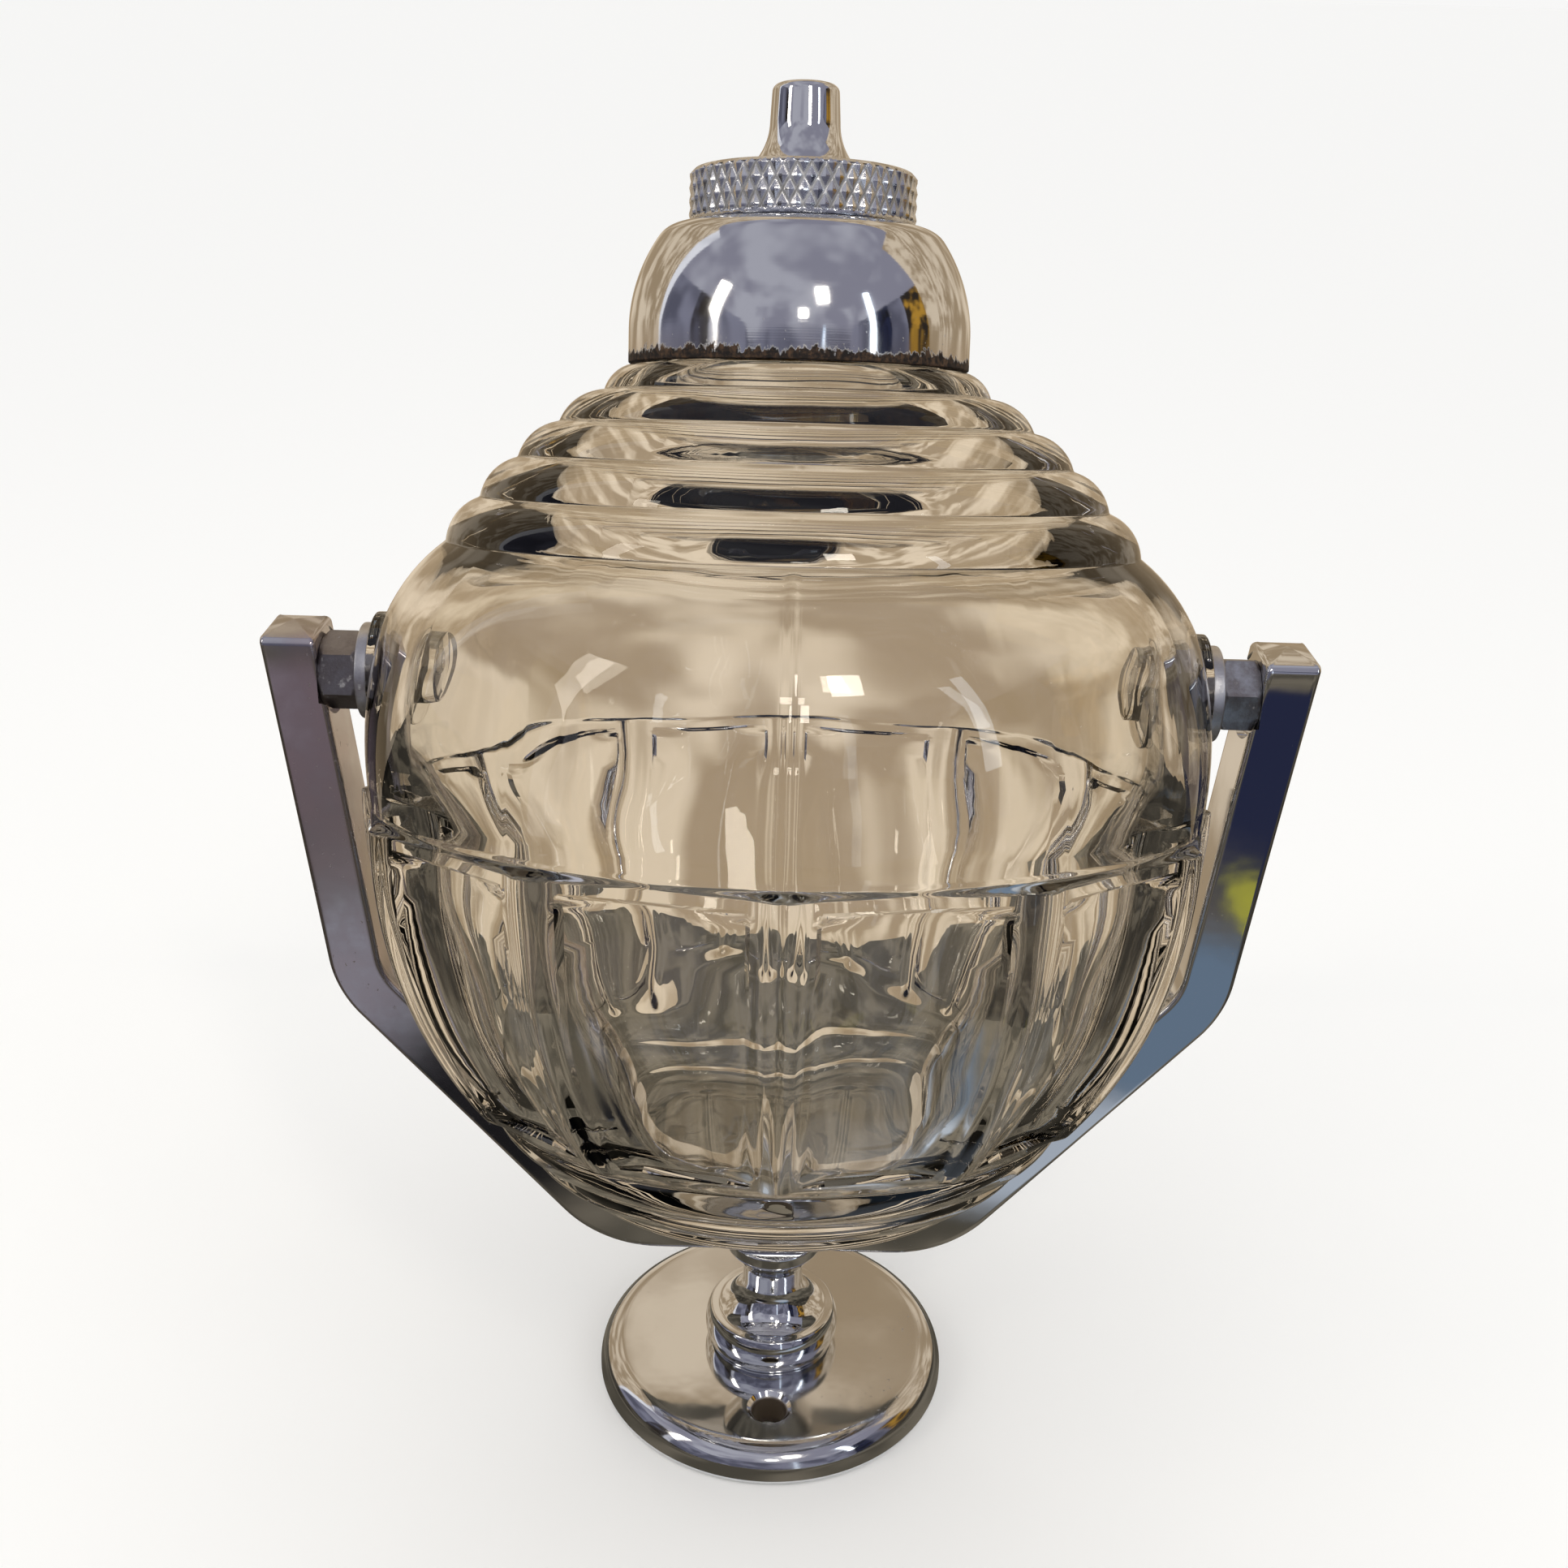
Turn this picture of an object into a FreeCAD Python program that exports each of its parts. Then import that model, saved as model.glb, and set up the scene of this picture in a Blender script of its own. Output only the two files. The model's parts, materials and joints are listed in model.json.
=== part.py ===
import FreeCAD, Part
import math
import os

from FreeCAD import Vector

# Tip-and-pour soap dispenser: a moulded glass globe hangs between the arms of a
# chromed yoke, which stands on a turned stem and a round screw-down flange.
# Millimetres. Origin: centre of the flange's underside, +Z up, the yoke in the XZ
# plane, the front of the object towards -Y. The globe leans back about its pivots.

# Base flange
FLANGE_RADIUS = 29.3
FLANGE_HEIGHT = 5.8
FLANGE_RIM_ROUND = 4.2
FLANGE_FOOT_BEVEL = 0.6
SCREW_HOLE_RADIUS = 2.75
SCREW_HOLE_SPACING = 36.0
COUNTERSINK_DEPTH = 0.9

# Stem between flange and yoke
STEM_HEIGHT = 21.7
STEM_FOOT_RADIUS = 10.4
STEM_FOOT_BULGE = 0.9
STEM_FOOT_HEIGHT = 6.6
STEM_STEP_RADIUS = 9.0
STEM_NECK_RADIUS = 5.0
STEM_FLARE_HEIGHT = 6.0
STEM_CONE_HEIGHT = 4.1
STEM_TOP_RADIUS = 8.0
STEM_TOP_BAND = 2.0

# Bolt that ties flange, stem and yoke together
BOLT_RADIUS = 3.0
BOLT_HEAD_RADIUS = 5.6
BOLT_HEAD_HEIGHT = 2.2
BOLT_HEAD_SLOT = 1.2
BOLT_SUNK = 0.4
BOLT_CLEARANCE = 0.3
BOLT_THREAD_DEPTH = 6.0
LOCK_WASHER_THICKNESS = 1.0
LOCK_WASHER_WIDTH = 2.2
HEAD_CLEARANCE = 1.0
THREAD_FIT = 0.05

# Glass globe; heights and drops are measured along its own axis from the pivot line
GLOBE_LEAN = 14.0
GLOBE_RADIUS = 60.3
GLOBE_CENTRE_DROP = 8.5
GLASS_WALL = 5.0
SIDE_COUNT = 12
LEDGE_DROP = 16.6
SHOULDER_RADIUS = 27.2
SHOULDER_HEIGHT = 40.7
BROW_HEIGHT = 4.0
SHOULDER_FOOT_RADIUS = 49.0
SHOULDER_FOOT_HEIGHT = 19.5
SHOULDER_ARCH = 1.5
SHOULDER_RINGS = 4
RING_BULGE = 1.15
TOP_RING_BULGE = 0.6
NECK_BASE_HEIGHT = 44.2
NECK_HEIGHT = 7.3
NECK_WALL = 4.0
FOOT_RADIUS = 43.0
FOOT_DROP = 61.0
BASE_RADIUS = 26.0
BASE_DROP = 75.6
FOOT_ARCH = 1.6
FOOT_RINGS = 3
FOOT_RING_BULGE = 0.7
BASE_THICKNESS = 7.0
PANEL_RECESS = 1.2
PANEL_RIM = 2.2
PANEL_FOOT_RIM = 2.4
PANEL_CORNER = 3.0
RIB_WIDTH_TOP = 5.6
RIB_WIDTH_FOOT = 4.2
PAD_STAND = 0.1
PAD_MARGIN = 1.6

# Pivots between glass and yoke
PIVOT_SCREW_RADIUS = 3.0
PIVOT_SCREW_SUNK = 0.3
PIVOT_SLOT_WIDTH = 1.0
PIVOT_SLOT_DEPTH = 1.2
PIVOT_NOSE_RADIUS = 2.4
NUT_SIDES = 6
PIVOT_NUT_FLATS = 10.0
PIVOT_NUT_THICKNESS = 5.6
NUT_TURN = 42.0
SPOT_FACE_CLEARANCE = 0.6
WASHER_RADIUS = 7.0
WASHER_THICKNESS = 1.8
WASHER_HOLE_CLEARANCE = 0.2
WASHER_PLAY = 0.2
RUNNING_FIT = 0.05
SOCKET_DEPTH = 6.0
SOCKET_WALL = 3.0
END_PLAY = 0.5

# Screw cap
CAP_RADIUS = 23.9
CAP_SKIRT_HEIGHT = 4.3
CAP_DOME_RADIUS = 22.6
CAP_HEIGHT = 18.8
CAP_TOP_RADIUS = 16.6
CAP_EDGE_DROP = 1.6
CAP_EDGE_BULGE = 0.45
CAP_WALL = 1.6
CAP_SKIRT_WALL = 2.2
CAP_SHOULDER_GAP = 0.3
CAP_HOLLOW_BULGE = 1.0
THREAD_RING_WALL = 1.0
THREAD_RING_FIT = 0.1
THREAD_RING_INSET = 0.8
THREAD_RING_LIP = 1.3
THREAD_CLEARANCE = 0.3
GASKET_THICKNESS = 1.4
SLIP_RING_THICKNESS = 0.4
SEAL_GAP = 0.05

# Nipple, collar and nozzle on the cap
NIPPLE_RADIUS = 10.6
NIPPLE_FLANGE_WIDTH = 2.4
NIPPLE_FLANGE_THICKNESS = 1.5
NIPPLE_FIT = 0.1
SOAP_BORE_RADIUS = 2.2
COLLAR_RADIUS = 15.8
COLLAR_HEIGHT = 7.1
COLLAR_SEAT_GAP = 0.3
COLLAR_BEVEL = 0.7
COLLAR_ROOF = 1.2
COLLAR_PLAY = 0.1
NOZZLE_ROOT_RADIUS = 8.4
NOZZLE_ROOT_CLEARANCE = 0.3
NOZZLE_FLANGE_THICKNESS = 1.2
NOZZLE_GASKET_THICKNESS = 0.8
NOZZLE_HEIGHT = 11.7
NOZZLE_FLARE_HEIGHT = 6.8
NOZZLE_WAIST_RADIUS = 4.85
NOZZLE_TIP_RADIUS = 4.65
NOZZLE_TIP_ROUND = 1.1

# Yoke, bent from flat bar
BAR_THICKNESS = 7.8
BAR_DEPTH = 11.0
BAR_EDGE_ROUND = 0.7
ARM_SPLAY = 6.4
ARM_RISE = 7.6
ARM_CROWN = 1.5
SLANT_ANGLE = 40.3
SLANT_CLEARANCE = 4.3
SWEEP_CLEARANCE = 8.4
ARM_BEND_RADIUS = 18.0
FOOT_BEND_RADIUS = 20.0

# Places along the globe's axis that follow from the sizes above
LIP_HEIGHT = NECK_BASE_HEIGHT + NECK_HEIGHT
GASKET_FOOT = LIP_HEIGHT + SEAL_GAP
SLIP_RING_FOOT = GASKET_FOOT + GASKET_THICKNESS + SEAL_GAP
RING_LIP_FOOT = SLIP_RING_FOOT + SLIP_RING_THICKNESS + SEAL_GAP
THREAD_RING_TOP = RING_LIP_FOOT + THREAD_RING_LIP
CAP_FOOT = NECK_BASE_HEIGHT + CAP_SHOULDER_GAP
CAP_TOP = CAP_FOOT + CAP_HEIGHT
COLLAR_FOOT = CAP_TOP + COLLAR_SEAT_GAP
COLLAR_TOP = COLLAR_FOOT + COLLAR_HEIGHT
NOZZLE_FLANGE_TOP = COLLAR_TOP - COLLAR_ROOF - COLLAR_PLAY
NOZZLE_FLANGE_FOOT = NOZZLE_FLANGE_TOP - NOZZLE_FLANGE_THICKNESS
NIPPLE_TOP = NOZZLE_FLANGE_FOOT - NOZZLE_GASKET_THICKNESS
NOZZLE_TOP = COLLAR_TOP + NOZZLE_HEIGHT

# Radii that follow from each other, from the cap's skirt inwards
CAP_BORE_RADIUS = CAP_RADIUS - CAP_SKIRT_WALL
RING_BORE_RADIUS = CAP_BORE_RADIUS - THREAD_RING_FIT - THREAD_RING_WALL
NECK_RADIUS = RING_BORE_RADIUS - THREAD_CLEARANCE
NECK_BORE_RADIUS = NECK_RADIUS - NECK_WALL
LEDGE_RADIUS = math.sqrt(GLOBE_RADIUS ** 2 - (LEDGE_DROP - GLOBE_CENTRE_DROP) ** 2)
BROW_TURN = math.asin((BROW_HEIGHT + GLOBE_CENTRE_DROP) / GLOBE_RADIUS)
BROW_RADIUS = GLOBE_RADIUS * math.cos(BROW_TURN)
CORNER_REACH = 1 / math.cos(math.pi / SIDE_COUNT)

# Places along the pivot line, from the glass outwards
PAD_X = math.sqrt(GLOBE_RADIUS ** 2 - GLOBE_CENTRE_DROP ** 2) + PAD_STAND
SOCKET_X = PAD_X - SOCKET_DEPTH
WASHER_X = PAD_X + WASHER_PLAY
NUT_X = WASHER_X + WASHER_THICKNESS
SPOT_FACE_X = NUT_X + PIVOT_NUT_THICKNESS
NUT_CORNER_RADIUS = PIVOT_NUT_FLATS / 2 / math.cos(math.pi / NUT_SIDES)
SPOT_FACE_RADIUS = NUT_CORNER_RADIUS + SPOT_FACE_CLEARANCE
SOCKET_RADIUS = PIVOT_NOSE_RADIUS + RUNNING_FIT
PAD_RADIUS = WASHER_RADIUS + PAD_MARGIN

# The yoke's outer faces, from what has to turn inside it
SPLAY = math.radians(ARM_SPLAY)
SLANT = math.radians(SLANT_ANGLE)
ARM_HALF_SPAN = SPOT_FACE_X - SPOT_FACE_RADIUS * math.tan(SPLAY) + BAR_THICKNESS / math.cos(SPLAY)
BEYOND = 2 * ARM_HALF_SPAN
FOOT_CORNER = (FOOT_RADIUS * CORNER_REACH, FOOT_DROP)
SWEEP_RADIUS = max(NOZZLE_TOP, math.hypot(*FOOT_CORNER), math.hypot(BASE_RADIUS, BASE_DROP))
PIVOT_DROP = SWEEP_RADIUS + SWEEP_CLEARANCE + BAR_THICKNESS
SLANT_REACH = FOOT_CORNER[0] * math.cos(SLANT) + FOOT_CORNER[1] * math.sin(SLANT)
SLANT_DISTANCE = SLANT_REACH + SLANT_CLEARANCE + BAR_THICKNESS
STEM_TOP_Z = FLANGE_HEIGHT + STEM_HEIGHT
PIVOT_Z = STEM_TOP_Z + PIVOT_DROP

ORIGIN = Vector(0, 0, 0)
X_AXIS = Vector(1, 0, 0)
Z_AXIS = Vector(0, 0, 1)


class Outline:
    """A closed outline in the XZ plane, drawn point by point with lines and arcs."""

    def __init__(self, x, z):
        self.start = Vector(x, 0, z)
        self.here = self.start
        self.edges = []

    def line(self, x, z):
        """A straight edge to (x, z)."""
        end = Vector(x, 0, z)
        self.edges.append(Part.LineSegment(self.here, end).toShape())
        self.here = end
        return self

    def arc(self, x, z, bulge):
        """An arc to (x, z) that swells by bulge to the right of the way there; negative is left."""
        end = Vector(x, 0, z)
        chord = end - self.here
        right = Vector(chord.z, 0, -chord.x).normalize()
        middle = (self.here + end) * 0.5 + right * bulge
        self.edges.append(Part.Arc(self.here, middle, end).toShape())
        self.here = end
        return self

    def face(self):
        """The area inside the outline, which closes itself with a straight edge."""
        if (self.here - self.start).Length > 1e-6:
            self.line(self.start.x, self.start.z)
        return Part.Face(Part.Wire(self.edges))

    def turned(self):
        """The solid of revolution about the Z axis."""
        return self.face().revolve(ORIGIN, Z_AXIS, 360)

    def extruded(self, depth):
        """The prism with this outline, depth long, centred on the XZ plane."""
        face = self.face()
        face.translate(Vector(0, -depth / 2, 0))
        return face.extrude(Vector(0, depth, 0))


def rod(radius, x_from, x_to):
    """A round bar along X between two places on the X axis."""
    return Part.makeCylinder(radius, x_to - x_from, Vector(x_from, 0, 0), X_AXIS)


def tube(outer, inner, z_from, z_to):
    """A plain ring about the Z axis."""
    return Outline(inner, z_from).line(outer, z_from).line(outer, z_to).line(inner, z_to).turned()


def tangent_bulge(span, aside):
    """Bulge of the arc that sets out along one direction, and ends span along it and aside from it."""
    return math.hypot(span, aside) / 2 * math.tan(math.atan2(aside, span) / 2)


def brow_bulge(inward, upward):
    """Bulge of the arc that leaves the brow along the belly, and ends inward and upward from there."""
    span = upward * math.cos(BROW_TURN) + inward * math.sin(BROW_TURN)
    aside = inward * math.cos(BROW_TURN) - upward * math.sin(BROW_TURN)
    return tangent_bulge(span, aside)


def belly_bulge(radius, start, end):
    """Bulge of the arc of the given radius between two points."""
    half_chord = math.hypot(end[0] - start[0], end[1] - start[1]) / 2
    return radius - math.sqrt(radius ** 2 - half_chord ** 2)


def arc_points(start, end, arch, count):
    """Points that divide the arc from start to end, which rises by arch on its right, in equal parts."""
    chord = Vector(end[0] - start[0], 0, end[1] - start[1])
    along = Vector(chord).normalize()
    right = Vector(along.z, 0, -along.x)
    radius = (chord.Length ** 2 / 4 + arch ** 2) / (2 * arch)
    half_turn = math.asin(chord.Length / 2 / radius)
    middle = Vector(start[0], 0, start[1]) + chord * 0.5 + right * (arch - radius)
    points = []
    for step in range(count + 1):
        turn = half_turn * (2 * step / count - 1)
        point = middle + along * (radius * math.sin(turn)) + right * (radius * math.cos(turn))
        points.append((point.x, point.z))
    return points


# Stand: flange, stem, bolt and yoke


def make_base_flange():
    """Turned disc with a rounded rim, two countersunk screw holes and a pocket for the bolt head."""
    rim_foot = FLANGE_HEIGHT - FLANGE_RIM_ROUND
    rim_bulge = FLANGE_RIM_ROUND * (1 - math.sqrt(0.5))
    disc = Outline(0, 0).line(FLANGE_RADIUS - FLANGE_FOOT_BEVEL, 0)
    disc.line(FLANGE_RADIUS, FLANGE_FOOT_BEVEL).line(FLANGE_RADIUS, rim_foot)
    disc.arc(FLANGE_RADIUS - FLANGE_RIM_ROUND, FLANGE_HEIGHT, rim_bulge).line(0, FLANGE_HEIGHT)
    flange = disc.turned()
    for side in (-1, 1):
        place = Vector(0, side * SCREW_HOLE_SPACING / 2, 0)
        hole = Part.makeCylinder(SCREW_HOLE_RADIUS, FLANGE_HEIGHT, place)
        mouth = place + Vector(0, 0, FLANGE_HEIGHT - COUNTERSINK_DEPTH)
        mouth_radius = SCREW_HOLE_RADIUS + COUNTERSINK_DEPTH
        sink = Part.makeCone(SCREW_HOLE_RADIUS, mouth_radius, COUNTERSINK_DEPTH, mouth)
        flange = flange.cut(hole).cut(sink)
    pocket_depth = BOLT_SUNK + BOLT_HEAD_HEIGHT + LOCK_WASHER_THICKNESS
    pocket = Part.makeCylinder(BOLT_HEAD_RADIUS + HEAD_CLEARANCE, pocket_depth)
    shank_hole = Part.makeCylinder(BOLT_RADIUS + BOLT_CLEARANCE, FLANGE_HEIGHT)
    return flange.cut(pocket).cut(shank_hole)


def make_stem():
    """Turned baluster: bulging foot, step, hollow neck and a coned head under the yoke."""
    neck_foot = STEM_FOOT_HEIGHT + STEM_FLARE_HEIGHT
    neck_top = STEM_HEIGHT - STEM_TOP_BAND - STEM_CONE_HEIGHT
    flare_hollow = tangent_bulge(STEM_FLARE_HEIGHT, STEM_STEP_RADIUS - STEM_NECK_RADIUS)
    bore = BOLT_RADIUS + BOLT_CLEARANCE
    baluster = Outline(bore, 0).line(STEM_FOOT_RADIUS, 0)
    baluster.arc(STEM_FOOT_RADIUS, STEM_FOOT_HEIGHT, STEM_FOOT_BULGE)
    baluster.line(STEM_STEP_RADIUS, STEM_FOOT_HEIGHT)
    baluster.arc(STEM_NECK_RADIUS, neck_foot, -flare_hollow).line(STEM_NECK_RADIUS, neck_top)
    baluster.line(STEM_TOP_RADIUS, STEM_HEIGHT - STEM_TOP_BAND)
    baluster.line(STEM_TOP_RADIUS, STEM_HEIGHT).line(bore, STEM_HEIGHT)
    stem = baluster.turned()
    stem.translate(Vector(0, 0, FLANGE_HEIGHT))
    return stem


def make_stem_bolt():
    """Slotted bolt with its head in the flange's pocket and its thread in the yoke."""
    head_top = BOLT_SUNK + BOLT_HEAD_HEIGHT
    head = Part.makeCylinder(BOLT_HEAD_RADIUS, BOLT_HEAD_HEIGHT, Vector(0, 0, BOLT_SUNK))
    shank_length = STEM_TOP_Z + BOLT_THREAD_DEPTH - head_top
    shank = Part.makeCylinder(BOLT_RADIUS, shank_length, Vector(0, 0, head_top))
    slot_corner = Vector(-BOLT_HEAD_RADIUS, -BOLT_HEAD_SLOT / 2, BOLT_SUNK)
    slot = Part.makeBox(2 * BOLT_HEAD_RADIUS, BOLT_HEAD_SLOT, BOLT_HEAD_SLOT, slot_corner)
    return head.fuse(shank).removeSplitter().cut(slot)


def make_stem_lock_washer():
    """Spring washer over the bolt head, split on one side."""
    foot = BOLT_SUNK + BOLT_HEAD_HEIGHT
    inner = BOLT_RADIUS + BOLT_CLEARANCE
    outer = inner + LOCK_WASHER_WIDTH
    ring = tube(outer, inner, foot, foot + LOCK_WASHER_THICKNESS)
    split_corner = Vector(0, -LOCK_WASHER_THICKNESS / 2, foot)
    split = Part.makeBox(outer, LOCK_WASHER_THICKNESS, LOCK_WASHER_THICKNESS, split_corner)
    return ring.cut(split)


def crossing(first, second):
    """Where two lines of the XZ plane meet, each given as its normal's angle and its distance."""
    (angle_1, distance_1), (angle_2, distance_2) = first, second
    span = math.sin(angle_2 - angle_1)
    x = (distance_1 * math.sin(angle_2) - distance_2 * math.sin(angle_1)) / span
    z = (distance_2 * math.cos(angle_1) - distance_1 * math.cos(angle_2)) / span
    return Vector(x, 0, z)


def bar_corners(inset):
    """Corners of the yoke's right half, from the pivot, on a path inset from its outer faces."""
    foot = (-math.pi / 2, PIVOT_DROP - inset)
    slant = (-SLANT, SLANT_DISTANCE - inset)
    arm = (-SPLAY, ARM_HALF_SPAN * math.cos(SPLAY) - inset)
    arm_end = (math.pi / 2, ARM_RISE)
    return [crossing(foot, slant), crossing(slant, arm), crossing(arm, arm_end)]


def rounded_run(corners, radii):
    """Straight edges through the corners, with a tangent arc of the given radius at each inner corner."""
    edges = []
    here = corners[0]
    for before, corner, after, radius in zip(corners, corners[1:], corners[2:], radii):
        back = (before - corner).normalize()
        ahead = (after - corner).normalize()
        half_angle = back.getAngle(ahead) / 2
        reach = radius / math.tan(half_angle)
        to_middle = radius / math.sin(half_angle) - radius
        middle = corner + (back + ahead).normalize() * to_middle
        edges.append(Part.LineSegment(here, corner + back * reach).toShape())
        edges.append(Part.Arc(corner + back * reach, middle, corner + ahead * reach).toShape())
        here = corner + ahead * reach
    edges.append(Part.LineSegment(here, corners[-1]).toShape())
    return edges


def arm_crown():
    """Block as deep as the bar, up to the arms' ends, with its top crowned from front to back."""
    half = BAR_DEPTH / 2
    side = Outline(-half, -PIVOT_DROP).line(half, -PIVOT_DROP).line(half, ARM_RISE - ARM_CROWN)
    side.arc(-half, ARM_RISE - ARM_CROWN, ARM_CROWN)
    block = side.extruded(2 * BEYOND)
    block.rotate(ORIGIN, Z_AXIS, 90)
    return block


def make_yoke():
    """Flat bar bent to a wide U, crowned at the arm ends, spot-faced for the nuts and tapped."""
    edges = []
    for inset in (0, BAR_THICKNESS):
        right_half = bar_corners(inset)
        left_half = [Vector(-point.x, 0, point.z) for point in reversed(right_half)]
        radii = [ARM_BEND_RADIUS - inset, FOOT_BEND_RADIUS - inset]
        edges += rounded_run(left_half + right_half, radii + radii[::-1])
    for side in (-1, 1):
        outer = Vector(side * bar_corners(0)[2].x, 0, ARM_RISE)
        inner = Vector(side * bar_corners(BAR_THICKNESS)[2].x, 0, ARM_RISE)
        edges.append(Part.LineSegment(outer, inner).toShape())
    face = Part.Face(Part.Wire(Part.__sortEdges__(edges)))
    face.translate(Vector(0, -BAR_DEPTH / 2, 0))
    bar = face.extrude(Vector(0, BAR_DEPTH, 0))
    flat_edges = [edge for edge in bar.Edges if edge.BoundBox.YLength < 1e-3]
    long_edges = [edge for edge in flat_edges if edge.BoundBox.ZMin < ARM_RISE - ARM_CROWN]
    bar = bar.makeFillet(BAR_EDGE_ROUND, long_edges).common(arm_crown())
    tap_radius = PIVOT_SCREW_RADIUS + THREAD_FIT
    bar = bar.cut(rod(SPOT_FACE_RADIUS, -SPOT_FACE_X, SPOT_FACE_X))
    bar = bar.cut(rod(tap_radius, -BEYOND, BEYOND))
    hole_depth = BOLT_THREAD_DEPTH + THREAD_FIT
    bolt_hole = Part.makeCylinder(BOLT_RADIUS + THREAD_FIT, hole_depth, Vector(0, 0, -PIVOT_DROP))
    bar = bar.cut(bolt_hole)
    bar.translate(Vector(0, 0, PIVOT_Z))
    return bar


# Pivots: made on the right, on the pivot line at the origin


def make_pivot_screw():
    """Headless pivot screw, slotted at its outer end, with a smooth nose for the glass socket."""
    outer_end = ARM_HALF_SPAN - PIVOT_SCREW_RADIUS * math.tan(SPLAY) - PIVOT_SCREW_SUNK
    nose = rod(PIVOT_NOSE_RADIUS, SOCKET_X + END_PLAY, NUT_X)
    screw = nose.fuse(rod(PIVOT_SCREW_RADIUS, NUT_X, outer_end)).removeSplitter()
    slot_corner = Vector(outer_end - PIVOT_SLOT_DEPTH, -PIVOT_SLOT_WIDTH / 2, -PIVOT_SCREW_RADIUS)
    slot = Part.makeBox(PIVOT_SLOT_DEPTH, PIVOT_SLOT_WIDTH, 2 * PIVOT_SCREW_RADIUS, slot_corner)
    return screw.cut(slot)


def make_pivot_nut():
    """Hexagon lock nut against the arm, with bevelled corners, at the angle where it came to stop."""
    corners = []
    for step in range(NUT_SIDES + 1):
        angle = math.radians(360 / NUT_SIDES * step + NUT_TURN)
        reach = Vector(0, math.cos(angle), math.sin(angle)) * NUT_CORNER_RADIUS
        corners.append(Vector(NUT_X, 0, 0) + reach)
    hexagon = Part.Face(Part.makePolygon(corners)).extrude(Vector(PIVOT_NUT_THICKNESS, 0, 0))
    bevel = NUT_CORNER_RADIUS - PIVOT_NUT_FLATS / 2
    blank = Outline(0, NUT_X).line(NUT_CORNER_RADIUS - bevel, NUT_X)
    blank.line(NUT_CORNER_RADIUS, NUT_X + bevel / 2).line(NUT_CORNER_RADIUS, SPOT_FACE_X)
    blank.line(0, SPOT_FACE_X)
    turned = blank.turned()
    turned.rotate(ORIGIN, Vector(0, 1, 0), 90)
    return hexagon.common(turned).cut(rod(PIVOT_SCREW_RADIUS + THREAD_FIT, NUT_X, SPOT_FACE_X))


def make_pivot_washer():
    """Round washer between the nut and the glass pad."""
    hole_radius = PIVOT_NOSE_RADIUS + WASHER_HOLE_CLEARANCE
    return rod(WASHER_RADIUS, WASHER_X, NUT_X).cut(rod(hole_radius, WASHER_X, NUT_X))


# Globe, cap and nozzle: made upright on the globe's own axis, with the pivot line at the origin


def glass_upper():
    """Upper body turned in one: round belly and brow, stepped shoulder rings and the neck."""
    ledge = (LEDGE_RADIUS, -LEDGE_DROP)
    brow = (BROW_RADIUS, BROW_HEIGHT)
    foot = (SHOULDER_FOOT_RADIUS, SHOULDER_FOOT_HEIGHT)
    body = Outline(0, -LEDGE_DROP).line(*ledge).arc(*brow, belly_bulge(GLOBE_RADIUS, ledge, brow))
    body.arc(*foot, brow_bulge(brow[0] - foot[0], foot[1] - brow[1]))
    top = (SHOULDER_RADIUS, SHOULDER_HEIGHT)
    for radius, height in arc_points(foot, top, SHOULDER_ARCH, SHOULDER_RINGS)[1:]:
        body.arc(radius, height, RING_BULGE)
    body.arc(CAP_RADIUS, NECK_BASE_HEIGHT, TOP_RING_BULGE).line(NECK_RADIUS, NECK_BASE_HEIGHT)
    return body.line(NECK_RADIUS, LIP_HEIGHT).line(0, LIP_HEIGHT).turned()


def side_wall(inset, depth):
    """Prism whose two long sides are opposite sides of the lower body, set in by inset."""
    bulge = tangent_bulge(FOOT_DROP - LEDGE_DROP, LEDGE_RADIUS - FOOT_RADIUS)
    ledge = LEDGE_RADIUS - inset
    foot = FOOT_RADIUS - inset
    wall = Outline(-ledge, -LEDGE_DROP).arc(-foot, -FOOT_DROP, bulge).line(foot, -FOOT_DROP)
    return wall.arc(ledge, -LEDGE_DROP, bulge).extruded(depth)


def glass_lower():
    """Many-sided lower body: opposite sides meet as prisms, so that corners stand out as ribs."""
    side_turn = 360 / SIDE_COUNT
    body = None
    for pair in range(SIDE_COUNT // 2):
        wall = side_wall(0, BEYOND)
        wall.rotate(ORIGIN, Z_AXIS, side_turn * (pair + 0.5))
        body = wall if body is None else body.common(wall)
    return body


def glass_foot():
    """Round foot under the sides, stepped in rings down to the flat base."""
    foot = Outline(0, -BASE_DROP)
    foot.line(BASE_RADIUS, -BASE_DROP)
    base_edge = (BASE_RADIUS, -BASE_DROP)
    side_edge = (FOOT_RADIUS, -FOOT_DROP)
    for radius, height in arc_points(base_edge, side_edge, FOOT_ARCH, FOOT_RINGS)[1:]:
        foot.arc(radius, height, FOOT_RING_BULGE)
    return foot.line(0, -FOOT_DROP).turned()


def panel_cutter():
    """Material to take off one side between its ribs, on the side that faces +X."""
    half_side = math.tan(math.pi / SIDE_COUNT)
    top = -LEDGE_DROP - PANEL_RIM
    foot = -FOOT_DROP + PANEL_FOOT_RIM
    top_half = LEDGE_RADIUS * half_side - RIB_WIDTH_TOP / 2
    foot_half = FOOT_RADIUS * half_side - RIB_WIDTH_FOOT / 2
    corners = [Vector(0, -foot_half, foot), Vector(0, foot_half, foot), Vector(0, top_half, top)]
    corners += [Vector(0, -top_half, top), Vector(0, -foot_half, foot)]
    outline = Part.Face(Part.makePolygon(corners)).extrude(Vector(BEYOND, 0, 0))
    upright = [edge for edge in outline.Edges if edge.BoundBox.XLength > GLOBE_RADIUS]
    outline = outline.makeFillet(PANEL_CORNER, upright)
    return outline.cut(side_wall(PANEL_RECESS, BEYOND))


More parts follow.
